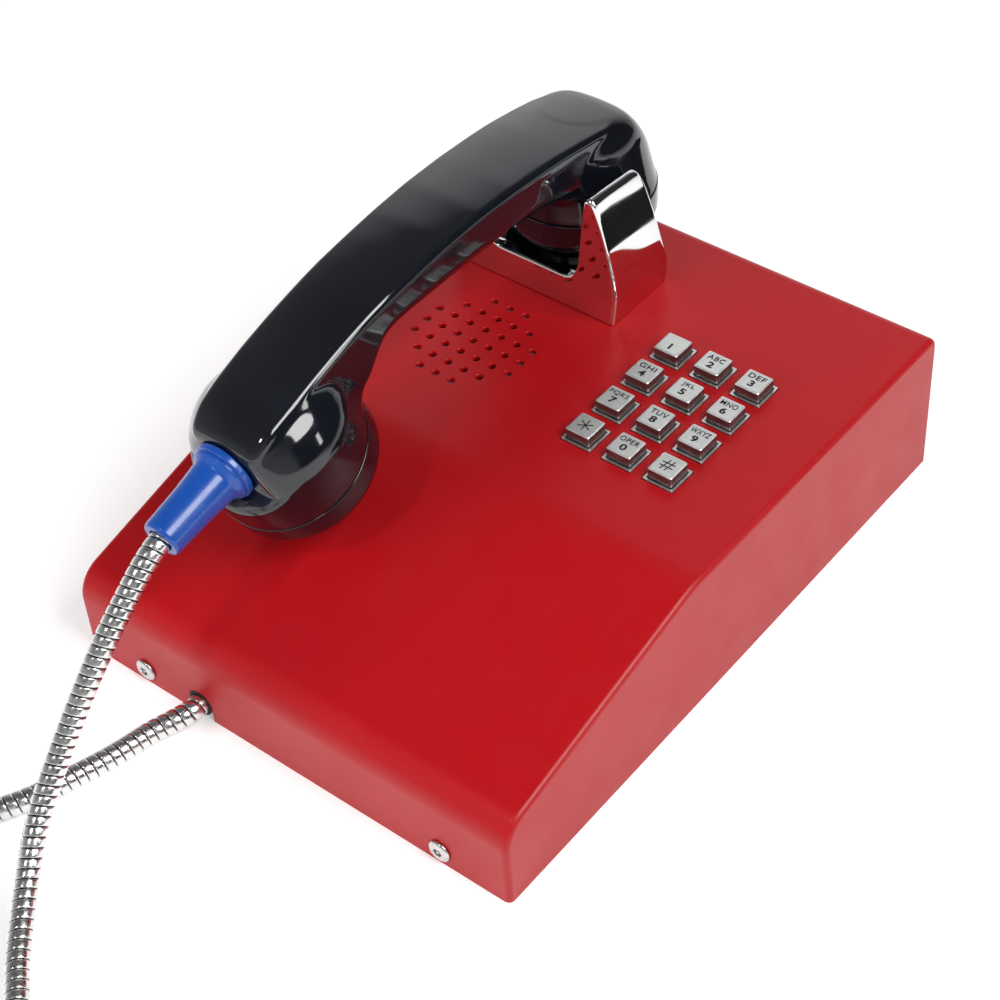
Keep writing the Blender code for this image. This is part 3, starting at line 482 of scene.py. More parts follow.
def loft(name, rings, look):
    bm = bmesh.new()
    skin(bm, rings)
    bmesh.ops.recalc_face_normals(bm, faces=bm.faces)
    return from_bmesh(name, bm, look)


def aimed(origin, axis):
    """A frame at origin whose Z points along axis."""
    return Matrix.Translation(origin) @ Vector(axis).to_track_quat("Z", "Y").to_matrix().to_4x4()


def circle(place, radius, height, segments):
    turns = [math.tau * i / segments for i in range(segments)]
    return [place @ Vector((radius * math.cos(t), radius * math.sin(t), height)) for t in turns]


def turned(name, corners, steps, segments, origin, axis, look):
    """A solid of revolution of (radius, height, rounding) corners, closed if off the axis."""
    place = aimed(origin, axis)
    bm = bmesh.new()
    rows = []
    for radius, height in rounded(corners, steps):
        ring = circle(place, radius, height, segments) if radius > 0.0003 else [
            place @ Vector((0, 0, height))
        ]
        rows.append([bm.verts.new(p) for p in ring])
    pairs = list(zip(rows, rows[1:]))
    if len(rows[0]) > 1:
        pairs.append((rows[-1], rows[0]))
    for a, b in pairs:
        if len(a) == len(b) == 1:
            continue
        for i in range(segments):
            j = (i + 1) % segments
            if len(a) == 1:
                bm.faces.new((a[0], b[j], b[i]))
            elif len(b) == 1:
                bm.faces.new((a[i], a[j], b[0]))
            else:
                bm.faces.new((a[i], a[j], b[j], b[i]))
    bmesh.ops.recalc_face_normals(bm, faces=bm.faces)
    return from_bmesh(name, bm, look)


def rods(name, places, rings, segments, look):
    """Round cutters: rings of (radius, height) at each (origin, axis)."""
    bm = bmesh.new()
    for origin, axis in places:
        skin(bm, [circle(aimed(origin, axis), *ring, segments) for ring in rings])
    bmesh.ops.recalc_face_normals(bm, faces=bm.faces)
    return from_bmesh(name, bm, look)


def box_mesh(name, centre, size, look):
    bm = bmesh.new()
    bmesh.ops.create_cube(
        bm, size=1, matrix=Matrix.Translation(centre) @ Matrix.Diagonal((*size, 1))
    )
    return from_bmesh(name, bm, look)


def square(x, y, z, half, corner, steps):
    """A ring: a square with rounded corners."""
    signs = ((-1, -1), (1, -1), (1, 1), (-1, 1))
    outline = rounded([(half * a, half * b, corner) for a, b in signs], steps)
    return [(p.x + x, p.y + y, z) for p in outline]


def key_prisms(name, half, corner, steps, low, high, look):
    """A square prism at every key."""
    bm = bmesh.new()
    for x, y in key_places():
        skin(bm, [square(x, y, z, half, corner, steps) for z in (low, high)])
    return from_bmesh(name, bm, look)


def show(obj, body, slot, *stands_for):
    """The piece moves with this body and stands for these CAD nodes; slot is not used."""
    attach(obj, body)
    if stands_for:
        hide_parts(*stands_for)
    return obj


# ------------ armoured cord


def smooth_route(points, count):
    """Evenly spaced points on a Catmull-Rom curve through the given points."""
    points = [Vector(p) for p in points]
    padded = [2 * points[0] - points[1], *points, 2 * points[-1] - points[-2]]
    fine = []
    for a, b, c, d in zip(padded, padded[1:], padded[2:], padded[3:]):
        for step in range(20):
            t = step / 20
            fine.append(
                0.5 * (2 * b + (c - a) * t + (2 * a - 5 * b + 4 * c - d) * t * t
                       + (3 * b - a - 3 * c + d) * t ** 3)
            )
    fine.append(points[-1])
    fine = np.array(fine)
    reach = np.concatenate(([0], np.cumsum(np.linalg.norm(np.diff(fine, axis=0), axis=1))))
    targets = np.linspace(0, reach[-1], count)
    return np.stack([np.interp(targets, reach, fine[:, k]) for k in range(3)], 1), reach[-1]


# (share of a turn's pitch, depth below the outer radius, how much painted shade darkens it)
HOSE_TURN = (
    (0.00, 0.00050, 1.0), (0.04, 0.00014, 0.30), (0.10, 0.00003, 0.0), (0.25, 0.0, 0.0),
    (0.50, 0.0, 0.0), (0.76, 0.00003, 0.0), (0.86, 0.00010, 0.05), (0.91, 0.00034, 0.6),
    (0.95, 0.00066, 1.0), (0.98, 0.00070, 1.0),
)
HOSE_PITCH = 0.0038
HOSE_INSET = 0.00008


def make_hose():
    """Interlocked hose: one strip wound in a helix, with a sunk ring at every turn that is painted
    dark as painted shade.
    """
    line, length = smooth_route(CORD_ROUTE, 1400)
    along = np.gradient(line, axis=0)
    along /= np.linalg.norm(along, axis=1)[:, None]
    side = np.zeros_like(line)
    side[0] = np.cross(along[0], (0, 0, 1))
    side[0] /= np.linalg.norm(side[0])
    for i in range(1, len(line)):
        v = side[i - 1] - along[i] * (side[i - 1] @ along[i])
        side[i] = v / np.linalg.norm(v)
    over = np.cross(along, side)
    steps, around = len(HOSE_TURN), 20
    turns = int(round(length / HOSE_PITCH))
    pitch = length / turns
    # The last column is the painted shade in the sunk turns.
    shares, depth, dark = np.array(HOSE_TURN).T
    rows = turns * steps
    k = np.arange(rows)
    j = np.arange(around)
    s = (k[:, None] // steps + shares[k % steps][:, None] + j[None] / around - 0.5) * pitch
    s = np.clip(s, 0, length) / length * (len(line) - 1)
    low = np.clip(s.astype(int), 0, len(line) - 2)
    t = (s - low)[..., None]

    def at(table):
        return table[low] * (1 - t) + table[low + 1] * t

    angle = (math.tau * j / around)[None, :, None]
    radius = (CORD_RADIUS - HOSE_INSET - depth[k % steps])[:, None, None]
    points = at(line) + radius * (np.cos(angle) * at(side) + np.sin(angle) * at(over))
    faces = []
    for row in range(rows - 1):
        for col in range(around):
            nxt = (row, col + 1) if col + 1 < around else (row + steps, 0)
            far = (row + 1, col + 1) if col + 1 < around else (row + 1 + steps, 0)
            if far[0] >= rows:
                continue
            faces.append((
                row * around + col, nxt[0] * around + nxt[1], far[0] * around + far[1],
                (row + 1) * around + col,
            ))
    mesh = bpy.data.meshes.new("armoured_hose")
    mesh.from_pydata(points.reshape(-1, 3).tolist(), [], faces)
    # How much painted shade each point gets goes to the material as a point attribute.
    groove_shade = mesh.attributes.new("groove_shade", "FLOAT", "POINT")
    groove_shade.data.foreach_set("value", np.repeat(dark[k % steps], around).astype(np.float32))
    mesh.polygons.foreach_set("use_smooth", [True] * len(mesh.polygons))
    hose = linked("armoured_hose", mesh, HOSE)
    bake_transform(hose)
    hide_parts("armoured_cord")


make_hose()

# ------------ smooth solids from distance fields


class Curve:
    """A smooth function through a table of (place, value)."""

    def __init__(self, table, blur, step=0.0004):
        xs, ys = (np.array(column, float) for column in zip(*table))
        pad = 5 * blur + 4 * step
        self.low, self.step = xs[0] - pad, step
        grid = np.arange(self.low, xs[-1] + pad, step)
        values = np.interp(grid, xs, ys)
        first = (ys[1] - ys[0]) / (xs[1] - xs[0])
        last = (ys[-1] - ys[-2]) / (xs[-1] - xs[-2])
        values += np.where(grid < xs[0], (grid - xs[0]) * first, 0)
        values += np.where(grid > xs[-1], (grid - xs[-1]) * last, 0)
        reach = int(4 * blur / step) + 1
        weight = np.exp(-0.5 * (np.arange(-reach, reach + 1) * step / blur) ** 2)
        weight /= weight.sum()
        extended = np.concatenate((
            values[0] - (values[reach:0:-1] - values[0]), values,
            values[-1] - (values[-2:-reach - 2:-1] - values[-1]),
        ))
        self.values = np.convolve(extended, weight, "valid")
        self.slopes = np.gradient(self.values, step)

    def __call__(self, x):
        at = np.clip((x - self.low) / self.step, 0, len(self.values) - 1.001)
        i = at.astype(int)
        t = at - i
        a, b = self.values[i], self.values[i + 1]
        ma, mb = self.slopes[i] * self.step, self.slopes[i + 1] * self.step
        return (
            a * (2 * t ** 3 - 3 * t * t + 1) + ma * (t ** 3 - 2 * t * t + t)
            + b * (3 * t * t - 2 * t ** 3) + mb * (t ** 3 - t * t)
        )


def joined(a, b, k):
    """The union of two fields, with a fillet about k wide."""
    h = np.maximum(k - np.abs(a - b), 0) / k
    return np.minimum(a, b) - h * h * k / 4


def common(a, b, k):
    """The intersection of two fields, with its edge rounded."""
    return -joined(-a, -b, k)


def surface_net(field, low, high, step):
    """Quads on the zero surface of field(x, y, z), from a grid."""
    axes = [np.arange(a, b + step, step) for a, b in zip(low, high)]
    values = field(*np.meshgrid(*axes, indexing="ij"))
    shape = np.array(values.shape)
    inside = values < 0
    cells = shape - 1
    count = np.zeros(cells)
    total = np.zeros((*cells, 3))
    crossings = []
    for axis in range(3):
        u, v = [a for a in range(3) if a != axis]
        first = [slice(None)] * 3
        last = [slice(None)] * 3
        first[axis], last[axis] = slice(0, -1), slice(1, None)
        a, b = values[tuple(first)], values[tuple(last)]
        cross = inside[tuple(first)] != inside[tuple(last)]
        index = np.argwhere(cross)
        share = a[cross] / (a[cross] - b[cross])
        place = index.astype(float)
        place[:, axis] += share
        crossings.append((axis, index, inside[tuple(first)][cross]))
        for du in (0, 1):
            for dv in (0, 1):
                cell = index.copy()
                cell[:, u] -= du
                cell[:, v] -= dv
                good = ((cell >= 0) & (cell < cells)).all(1)
                at = tuple(cell[good].T)
                np.add.at(count, at, 1)
                np.add.at(total, at, place[good])
    used = count > 0
    number = np.full(cells, -1)
    number[used] = np.arange(used.sum())
    points = np.array(low) + total[used] / count[used][:, None] * step
    quads = []
    for axis, index, leaving in crossings:
        u, v = (axis + 1) % 3, (axis + 2) % 3
        good = (index[:, [u, v]] > 0).all(1) & (index[:, [u, v]] < cells[[u, v]]).all(1)
        index, leaving = index[good], leaving[good]
        corners = []
        for du, dv in ((1, 1), (0, 1), (0, 0), (1, 0)):
            cell = index.copy()
            cell[:, u] -= du
            cell[:, v] -= dv
            corners.append(number[tuple(cell.T)])
        faces = np.stack(corners, 1)
        faces[~leaving] = faces[~leaving][:, ::-1]
        quads.append(faces)
    return points, np.concatenate(quads)


def slope_of(field, points, reach):
    rows = []
    for axis in range(3):
        shift = np.zeros(3)
        shift[axis] = reach
        rows.append((field(*(points + shift).T) - field(*(points - shift).T)) / (2 * reach))
    return np.stack(rows, 1)


def settled(field, points, quads, rounds=4):
    """Spreads the points evenly and puts them on the surface."""
    edges = np.concatenate([quads[:, [i, (i + 1) % 4]] for i in range(4)])
    ends = np.concatenate((edges[:, 0], edges[:, 1]))
    others = np.concatenate((edges[:, 1], edges[:, 0]))
    number = np.bincount(ends, minlength=len(points))[:, None]
    for turn in range(rounds + 2):
        if turn < rounds:
            total = np.stack([
                np.bincount(ends, points[others][:, k], minlength=len(points)) for k in range(3)
            ], 1)
            points = points * 0.4 + total / number * 0.6
        for _ in range(2):
            slope = slope_of(field, points, 0.00005)
            size = (slope ** 2).sum(1)
            move = field(*points.T) / np.maximum(size, 0.05)
            points = points - np.clip(move, -0.0008, 0.0008)[:, None] * slope
    return points


def field_solid(name, field, low, high, step, look):
    points, quads = surface_net(field, low, high, step)
    points = settled(field, points, quads)
    mesh = bpy.data.meshes.new(name)
    mesh.from_pydata(points.tolist(), [], quads.tolist())
    return linked(name, mesh, look)


def shade_by_field(obj, field, reach, plain=()):
    """Exact smooth normals from the field; the faces whose index is in plain stay flat."""
    mesh = obj.data
    points = np.zeros(len(mesh.vertices) * 3)
    mesh.vertices.foreach_get("co", points)
    points = points.reshape(-1, 3)
    slope = slope_of(field, points, reach)
    slope /= np.maximum(np.linalg.norm(slope, axis=1), 1e-9)[:, None]
    mesh.polygons.foreach_set("use_smooth", [True] * len(mesh.polygons))
    normals = np.zeros((len(mesh.loops), 3))
    vertex = np.zeros(len(mesh.loops), int)
    mesh.loops.foreach_get("vertex_index", vertex)
    normals[:] = slope[vertex]
    for face in plain:
        polygon = mesh.polygons[face]
        for loop in polygon.loop_indices:
            normals[loop] = polygon.normal
    mesh.normals_split_custom_set(normals.tolist())


# ------------ handset

# Distance from the low end, top edge, underside, half width
GRIP = (
    (0.0290, 0.1120, 0.0960, 0.0134), (0.0335, 0.1168, 0.0900, 0.0160),
    (0.0400, 0.1222, 0.0870, 0.0175), (0.0500, 0.1262, 0.0890, 0.0181),
    (0.0650, 0.1314, 0.0960, 0.0183), (0.0800, 0.1357, 0.1010, 0.0183),
    (0.0925, 0.1387, 0.1070, 0.0183), (0.0955, 0.1393, 0.1106, 0.0183),
    (0.0985, 0.1400, 0.1156, 0.0183), (0.1030, 0.1408, 0.1208, 0.0184),
    (0.1100, 0.1419, 0.1236, 0.0185), (0.1250, 0.1436, 0.1239, 0.0186),
    (0.1400, 0.1450, 0.1240, 0.0187), (0.1600, 0.1458, 0.1242, 0.0190),
    (0.1800, 0.1453, 0.1238, 0.0193), (0.2000, 0.1439, 0.1212, 0.0195),
    (0.2120, 0.1426, 0.1170, 0.0196), (0.2280, 0.1400, 0.1130, 0.0196),
    (0.2440, 0.1369, 0.1100, 0.0194), (0.2530, 0.1349, 0.1080, 0.0188),
    (0.2580, 0.1326, 0.1080, 0.0177), (0.2625, 0.1282, 0.1080, 0.0162),
    (0.2670, 0.1224, 0.1070, 0.0143), (0.2710, 0.1155, 0.1060, 0.0115),
    (0.2745, 0.1090, 0.1050, 0.0070),
)
GRIP_TOP = Curve([(row[0], row[1]) for row in GRIP], 0.0022)
GRIP_UNDER = Curve([(row[0], row[2]) for row in GRIP], 0.0022)
GRIP_HALF = Curve([(row[0], row[3]) for row in GRIP], 0.0026)
# Distance along the bulb's axis, radius; the cap's seam is at zero
EAR_PROFILE = Curve((
    (-0.0360, 0.0248), (-0.0275, 0.0275), (-0.0225, 0.0284), (-0.0165, 0.0293), (-0.0115, 0.0300),
    (-0.0070, 0.0306), (-0.0030, 0.0311), (0.0, 0.0316), (0.0060, 0.0318),
), 0.0016)
MOUTH_PROFILE = Curve((
    (-0.0375, 0.0060), (-0.0362, 0.0130), (-0.0345, 0.0172), (-0.0325, 0.0212), (-0.0300, 0.0240),
    (-0.0270, 0.0266), (-0.0240, 0.0285), (-0.0200, 0.0302), (-0.0160, 0.0312), (-0.0100, 0.0320),
    (-0.0040, 0.0324), (0.0, 0.0324), (0.0060, 0.0325),
), 0.0010)


def grip_field(x, y, z):
    """A bar with a crowned top, crisp upper edges and full lower ones."""
    y = y - LOW_END
    top, under = GRIP_TOP(y), GRIP_UNDER(y)
    half = np.maximum(GRIP_HALF(y), 0.0062)
    across = np.abs(x - CRADLE_X)
    end = np.clip((y - 0.236) / 0.020, 0, 1)
    half = half - 0.0030 * end * end * (3 - 2 * end)
    top = top + 0.0022 * np.clip(1 - (across / half) ** 2, -0.3, 1)
    middle, tall = (top + under) / 2, np.maximum((top - under) / 2, 0.001)
    corner = np.where(z > middle, 0.0026, 0.0088)
    corner = np.minimum(corner, np.minimum(half * 0.8, tall * 0.9))
    qx = across - (half - corner)
    qz = np.abs(z - middle) - (tall - corner)
    out = np.hypot(np.maximum(qx, 0), np.maximum(qz, 0))
    return out + np.minimum(np.maximum(qx, qz), 0) - corner


def about(x, y, z, centre, axis):
    """Distance along an axis and away from it."""
    dx, dy, dz = x - centre[0], y - centre[1], z - centre[2]
    along = dx * axis[0] + dy * axis[1] + dz * axis[2]
    away = np.sqrt(np.maximum(dx * dx + dy * dy + dz * dz - along * along, 1e-12))
    return along, away


def handset_field(x, y, z):
    """The grip with a bulb at each end, cut off square where the boot sits."""
    along = about(x, y, z, EAR_CENTRE, EAR_AXIS)[0]
    grip_top = GRIP_TOP(y - LOW_END)
    top = grip_top + 0.0024 * np.clip(1 - ((x - CRADLE_X) / 0.022) ** 2, -0.3, 1)
    narrow = 1 + 0.20 * np.clip(-along / 0.034, 0, 1)
    round_ear = np.hypot((x - EAR_CENTRE.x) * narrow, y - EAR_CENTRE.y)
    ear = common(round_ear - EAR_PROFILE(along), z - top, 0.0100)
    ear = common(ear, along - 0.006, 0.001)
    along, away = about(x, y, z, MOUTH_CENTRE, MOUTH_AXIS)
    mouth = common(away - MOUTH_PROFILE(along), along - 0.006, 0.001)
    mouth = common(mouth, z - grip_top + 0.0022, 0.0060)
    solid = joined(grip_field(x, y, z), mouth, 0.0070)
    solid = joined(solid, ear, 0.0050 * np.clip((grip_top - z) / 0.010, 0.08, 1))
    out, far = about(x, y, z, BOOT_FACE, BOOT_AXIS)
    chin = np.maximum(along + 0.0190, 0) * 1.4 * np.clip((far - 0.0118) / 0.003, 0, 1)
    return common(solid, out + 0.0038 - chin, 0.004)


def trim_rim(bm, centre, axis, plain):
    """Cuts the shell off at a cap's seam, with a small chamfer round the rim."""
    near = [f for f in bm.faces if (f.calc_center_median() - centre).length < 0.045]
    geometry = set(near)
    for face in near:
        geometry.update(face.edges)
        geometry.update(face.verts)
    cut = bmesh.ops.bisect_plane(
        bm, geom=list(geometry), dist=1e-7, plane_co=centre - axis * 0.0005, plane_no=axis,
        clear_outer=True,
    )
    rim = [e for e in cut["geom_cut"] if isinstance(e, bmesh.types.BMEdge)]
    made = bmesh.ops.extrude_edge_only(bm, edges=rim)["geom"]
    for vert in (g for g in made if isinstance(g, bmesh.types.BMVert)):
        out = vert.co - centre
        out -= axis * out.dot(axis)
        vert.co += axis * 0.0004 - out.normalized() * 0.0005
    edges = [g for g in made if isinstance(g, bmesh.types.BMEdge)]
    faces = [g for g in made if isinstance(g, bmesh.types.BMFace)]
    faces += bmesh.ops.holes_fill(bm, edges=edges, sides=0)["faces"]
    for face in faces:
        face[plain] = 1


def make_handset():
    shell = field_solid(
        "handset_body", handset_field, (CRADLE_X - 0.036, LOW_END + 0.022, 0.074),
        (CRADLE_X + 0.036, LOW_END + 0.280, 0.150), 0.0011, BLACK,
    )
    bm = bmesh.new()
    bm.from_mesh(shell.data)
    plain = bm.faces.layers.int.new("plain")
    trim_rim(bm, EAR_CENTRE, EAR_AXIS, plain)
    trim_rim(bm, MOUTH_CENTRE, MOUTH_AXIS, plain)
    bmesh.ops.recalc_face_normals(bm, faces=bm.faces)
    flat = [i for i, f in enumerate(bm.faces) if f[plain]]
    bm.to_mesh(shell.data)
    bm.free()
    shade_by_field(shell, handset_field, 0.0005, flat)
    show(shell, "handset", "black_plastic", "handset_shell")
    make_cap("earpiece_cover", EAR_CENTRE, EAR_AXIS, EAR_RADIUS, "earpiece_cap")
    make_cap("mouthpiece_cover", MOUTH_CENTRE, MOUTH_AXIS, MOUTH_RADIUS, "mouthpiece_cap")
    make_boot()


def make_cap(name, centre, axis, radius, node):
    top = CAP_HEIGHT
    corners = (
        (0.0002, top - 0.0012, 0), (radius * 0.62, top - 0.0008, 0.004),
        (radius * 0.80, top, 0.003), (radius * 0.93, top - 0.0004, 0.003),
        (radius + 0.0003, top - 0.0055, 0.006), (radius + 0.0003, 0.0002, 0.0004),
        (radius - 0.0030, 0.0002, 0), (radius - 0.0030, top - 0.0045, 0), (0.0002, top - 0.0045, 0),
    )
    cap = turned(name, corners, 5, 96, centre, axis, BLACK)
    here = aimed(centre, axis)
    cutter = bmesh.new()
    places = [(0.0, 0.0)] + [
        (0.010 * math.cos(math.tau * i / 6), 0.010 * math.sin(math.tau * i / 6)) for i in range(6)
    ]
    for x, y in places:
        bmesh.ops.create_cone(
            cutter, cap_ends=True, segments=24, radius1=0.0018, radius2=0.0018, depth=0.014,
            matrix=here @ Matrix.Translation((x, y, top)),
        )
    boolean(cap, "DIFFERENCE", from_bmesh("holes", cutter, BLACK))
    smooth(cap, 38)
    show(cap, "handset", "black_plastic", node)


def make_boot():
    bore = CORD_RADIUS + 0.0003
    end = BOOT_LENGTH
    corners = (
        (bore, end, 0.0003), (0.0074, end, 0.0006), (0.0080, end - 0.0012, 0.0010),
        (0.0086, 0.0150, 0.02), (0.0096, 0.0034, 0.0026), (0.0117, 0.0012, 0.0010),
        (0.0119, 0.0003, 0.0004), (0.0114, -0.0003, 0.0002), (0.0126, -0.0007, 0.0005),
        (0.0126, -0.0030, 0.0008), (0.0116, -0.0036, 0.0003),
        (0.0050, -0.0036, 0), (0.0050, -0.0100, 0), (0.0002, -0.0100, 0),
        (0.0002, end - 0.0120, 0), (bore, end - 0.0120, 0),
    )
    boot = turned("strain_relief", corners, 4, 64, BOOT_FACE, BOOT_AXIS, BLUE)
    smooth(boot, 40)
    show(boot, "handset", "blue_boot", "cord_boot")


make_handset()

# ------------ cradle

# Height above the faceplate, half width
CASTING_HALF = Curve((
    (0.0, 0.0405), (0.0067, 0.0414), (0.0140, 0.0423), (0.0245, 0.0412), (0.0360, 0.0387),
    (0.0492, 0.0352), (0.0543, 0.0335), (0.0600, 0.0312),
), 0.0015)
# Height, how far the back leans forward
CASTING_LEAN = Curve((
    (0.0, 0.0), (0.0067, 0.0), (0.0140, 0.0013), (0.0245, 0.0037), (0.0360, 0.0043),
    (0.0492, 0.0056), (0.0543, 0.0068), (0.0590, 0.0086),
), 0.0015)
# Share of the ear's depth from front to back, extra height at its top
CASTING_EXTRA = Curve((
    (0.0, 0.0006), (0.25, 0.0006), (0.5, 0.0), (0.75, -0.0008), (0.92, -0.0012), (1.0, -0.0022),
), 0.05, 0.01)
# Height, half width of the opening
FRONT_OPENING = Curve((
    (0.0100, 0.0190), (0.0178, 0.0214), (0.0240, 0.0234), (0.0320, 0.0245), (0.0425, 0.0256),
    (0.0529, 0.0270), (0.0565, 0.0278), (0.0640, 0.0300),
), 0.0015)


def cradle_field(x, y, z):
    """A box with its middle and its front opening taken out, so that two ears stand."""
    across = np.abs(x - CRADLE_X)
    y = y - LOW_END
    up = z - HEIGHT
    lean = CASTING_LEAN(up)
    share = (y - CRADLE_FRONT) / (CRADLE_BACK - CRADLE_FRONT - lean)
    level = up - CASTING_EXTRA(np.clip(share, -0.1, 1.1)) * np.clip(up / 0.058, 0, 1.2) ** 3
    half = CASTING_HALF(level)
    outer = common(across - half, level - 0.0580, 0.0024)
    ends = common(CRADLE_FRONT - y, y - (CRADLE_BACK - lean), 0.0010)
    outer = common(outer, ends, 0.0018)
    outer = np.maximum(outer, -up + 0.0002)
    inside = common(across - (half - 0.0029), DECK - up, 0.0030)
    inside = common(inside, CRADLE_FRONT + 0.0028 - y, 0.0030)
    opening = common(across - FRONT_OPENING(up), DECK - up, 0.0058)
    hollow = np.minimum(inside, opening)
    pin = np.hypot(x - CRADLE_X, y - HOOK_PLACE) - HOOK_HOLE
    hollow = np.minimum(hollow, pin)
    return common(outer, -hollow, 0.0011)


def make_cradle():
    cradle = field_solid(
        "cradle_casting", cradle_field, (CRADLE_X - 0.0445, LOW_END + 0.2085, HEIGHT - 0.0015),
        (CRADLE_X + 0.0445, LOW_END + 0.2500, HEIGHT + 0.0605), 0.0007, CHROME,
    )
    shade_by_field(cradle, cradle_field, 0.00025)
    show(cradle, "housing", "chrome_plate", "cradle")


make_cradle()

# ------------ housing


def housing_outline(inset, bottom):
    """The sheet's side view as (y, z), pulled in by inset."""
    low_z = LOW_HEIGHT + inset * math.tan(SLOPE) - inset / math.cos(SLOPE)
    bend = LOW_END + SLOPE_LENGTH + inset * math.tan(SLOPE / 2)
    return rounded((
        (LOW_END + inset, bottom, 0), (LOW_END + inset, low_z, 0.014 - inset),
        (bend, HEIGHT - inset, 0.060 - inset), (HIGH_END - inset, HEIGHT - inset, 0.005 - inset),
        (HIGH_END - inset, bottom, 0),
    ), 14)


CUT = 0.006


def bore(radius):
    """Rings of a straight cutter that goes this far through each side of the sheet."""
    return (radius, -CUT), (radius, CUT)


def inset_x(outline, amount):
    """The outline pulled in by this much, for the rounding of the side edges."""
    middle = []
    count = len(outline)
    for i, here in enumerate(outline):
        before = here - outline[i - 1]
        after = outline[(i + 1) % count] - here
        along = before.normalized() + after.normalized()
        along = along.normalized() if along.length > 1e-6 else after.normalized()
        normal = Vector((along.y, -along.x))
        bend = max(0.6, math.cos(before.angle(after, 0) / 2))
        middle.append(here + normal * (amount / bend))
    return middle


def hole_places():
    places = []
    middle = (len(HOLE_ROWS) - 1) / 2
    for row, count in enumerate(HOLE_ROWS):
        for column in range(count):
            x = SPEAKER[0] + (column - (count - 1) / 2) * HOLE_PITCH
            places.append((x, SPEAKER[1] + (middle - row) * HOLE_PITCH))
    return places


def key_places():
    return [
        (KEYPAD[0] + (column - 1) * KEY_PITCH, KEYPAD[1] + (1.5 - row) * KEY_PITCH)
        for row in range(4) for column in range(3)
    ]


def make_housing():
    rounding, steps = 0.0025, 5
    outline = housing_outline(0, 0)
    rings = []
    for k in range(steps + 1):
        angle = math.pi / 2 * k / steps
        inset = rounding * (1 - math.sin(angle))
        x = WIDTH / 2 - rounding * (1 - math.cos(angle))
        rings.append([
            (-x, p.x, max(p.y, 0.0) if q.y > 1e-6 else 0.0)
            for p, q in zip(inset_x(outline, inset), outline)
        ])
    mirrored = [[(-x, y, z) for x, y, z in ring] for ring in reversed(rings)]
    shell = loft("housing_skin", rings + mirrored, RED)
    reach = WIDTH / 2 - SHEET
    inner = loft("inner", [
        [(x, p.x, p.y) for p in housing_outline(SHEET, -0.01)] for x in (-reach, reach)
    ], RED)
    boolean(shell, "DIFFERENCE", inner)
    rim = ((0.0015, -CUT), (0.0015, -0.0006), (0.00158, -0.0003), (0.00180, -0.0001),
           (0.00215, 0.0), (0.00250, 0.0004))
    up, ahead = (0, 0, 1), (0, 1, 0)
    sound = rods("sound", [((x, y, HEIGHT), up) for x, y in hole_places()], rim, 20, RED)
    windows = key_prisms("windows", 0.00725, 0.0006, 3, HEIGHT - CUT, HEIGHT + CUT, RED)
    ends = rods("ends", [
        ((x, y, SCREW_Z), ahead) for y in (LOW_END, HIGH_END) for x in (-SCREW_X, SCREW_X)
    ], bore(0.0023), 20, RED)
    hook = rods("hook", [
        ((CRADLE_X + dx, LOW_END + HOOK_PLACE, HEIGHT), up) for dx in (0, -0.024, 0.024)
    ], bore(HOOK_HOLE), 24, RED)
    notch = rods("notch", [((CRADLE_X, LOW_END, CORD_Z), ahead)], bore(0.0059), 32, RED)
    slot = box_mesh("slot", (CRADLE_X, LOW_END, 0.0015), (0.0116, 0.012, 0.011), RED)
    boolean(shell, "DIFFERENCE", sound, windows, ends, hook, notch, slot)
    smooth(shell, 38)
    weigh_normals(shell)
    show(shell, "housing", "red_powder_coat", "housing_cover", "faceplate", "housing_end",
         "side_panel_left", "side_panel_right")


make_housing()

# ------------ keypad

BEZEL_TOP = HEIGHT - SHEET - 0.0003
BEZEL_BOTTOM = BEZEL_TOP - 0.0032
KEY_BOTTOM = BEZEL_BOTTOM - 0.0013


def make_keypad_frame():
    low, high = BEZEL_BOTTOM + 0.001, HEIGHT + COLLAR_RISE
    plate = box_mesh(
        "keypad_frame", (*KEYPAD, (BEZEL_BOTTOM + BEZEL_TOP) / 2),
        (0.071, 0.089, BEZEL_TOP - BEZEL_BOTTOM), BEZEL,
    )
    collars = key_prisms("collars", 0.0069, 0.0005, 2, low, high, BEZEL)
    wells = key_prisms("wells", 0.00585, 0.0004, 2, low - CUT, high + CUT, BEZEL)
    studs = rods("studs", [
        ((KEYPAD[0] + x * 0.0315, KEYPAD[1] + y * 0.0405, BEZEL_TOP), (0, 0, 1))
        for x in (-1, 1) for y in (-1, 1)
    ], bore(0.0018), 16, BEZEL)
    boolean(plate, "UNION", collars)
    boolean(plate, "DIFFERENCE", wells, studs)
    finish_edges(plate, 0.00018)
    smooth(plate, 50)
    weigh_normals(plate)
    show(plate, "housing", "bezel_metal", "keypad_bezel")


def make_keys():
    top = HEIGHT + KEY_RISE
    half = 0.00555
    levels = (
        (KEY_BOTTOM, 0.0066, 0.0005), (KEY_BOTTOM + 0.0010, 0.0066, 0.0005),
        (KEY_BOTTOM + 0.0010, half, 0.0006), (top - 0.00050, half, 0.0006),
        (top - 0.00040, half - 0.00003, 0.0006), (top - 0.00010, half - 0.00030, 0.0005),
        (top - 0.00002, half - 0.00042, 0.0005), (top, half - 0.00060, 0.0004),
        (top - 0.00002, half - 0.0012, 0.0004), (top - 0.00006, half - 0.0022, 0.0004),
    )
    for name, (x, y) in zip(KEY_NAMES, key_places()):
        rings = [square(x, y, z, size, corner, 3) for z, size, corner in levels]
        key = loft("keycap_" + name, rings, KEY)
        smooth(key, 28)
        weigh_normals(key)
        body = f"key_{name}_body"
        show(key, body, "key_metal", "key_" + name)
        legend = make_legend(name, x, y, top)
        show(legend, body, "black_plastic")


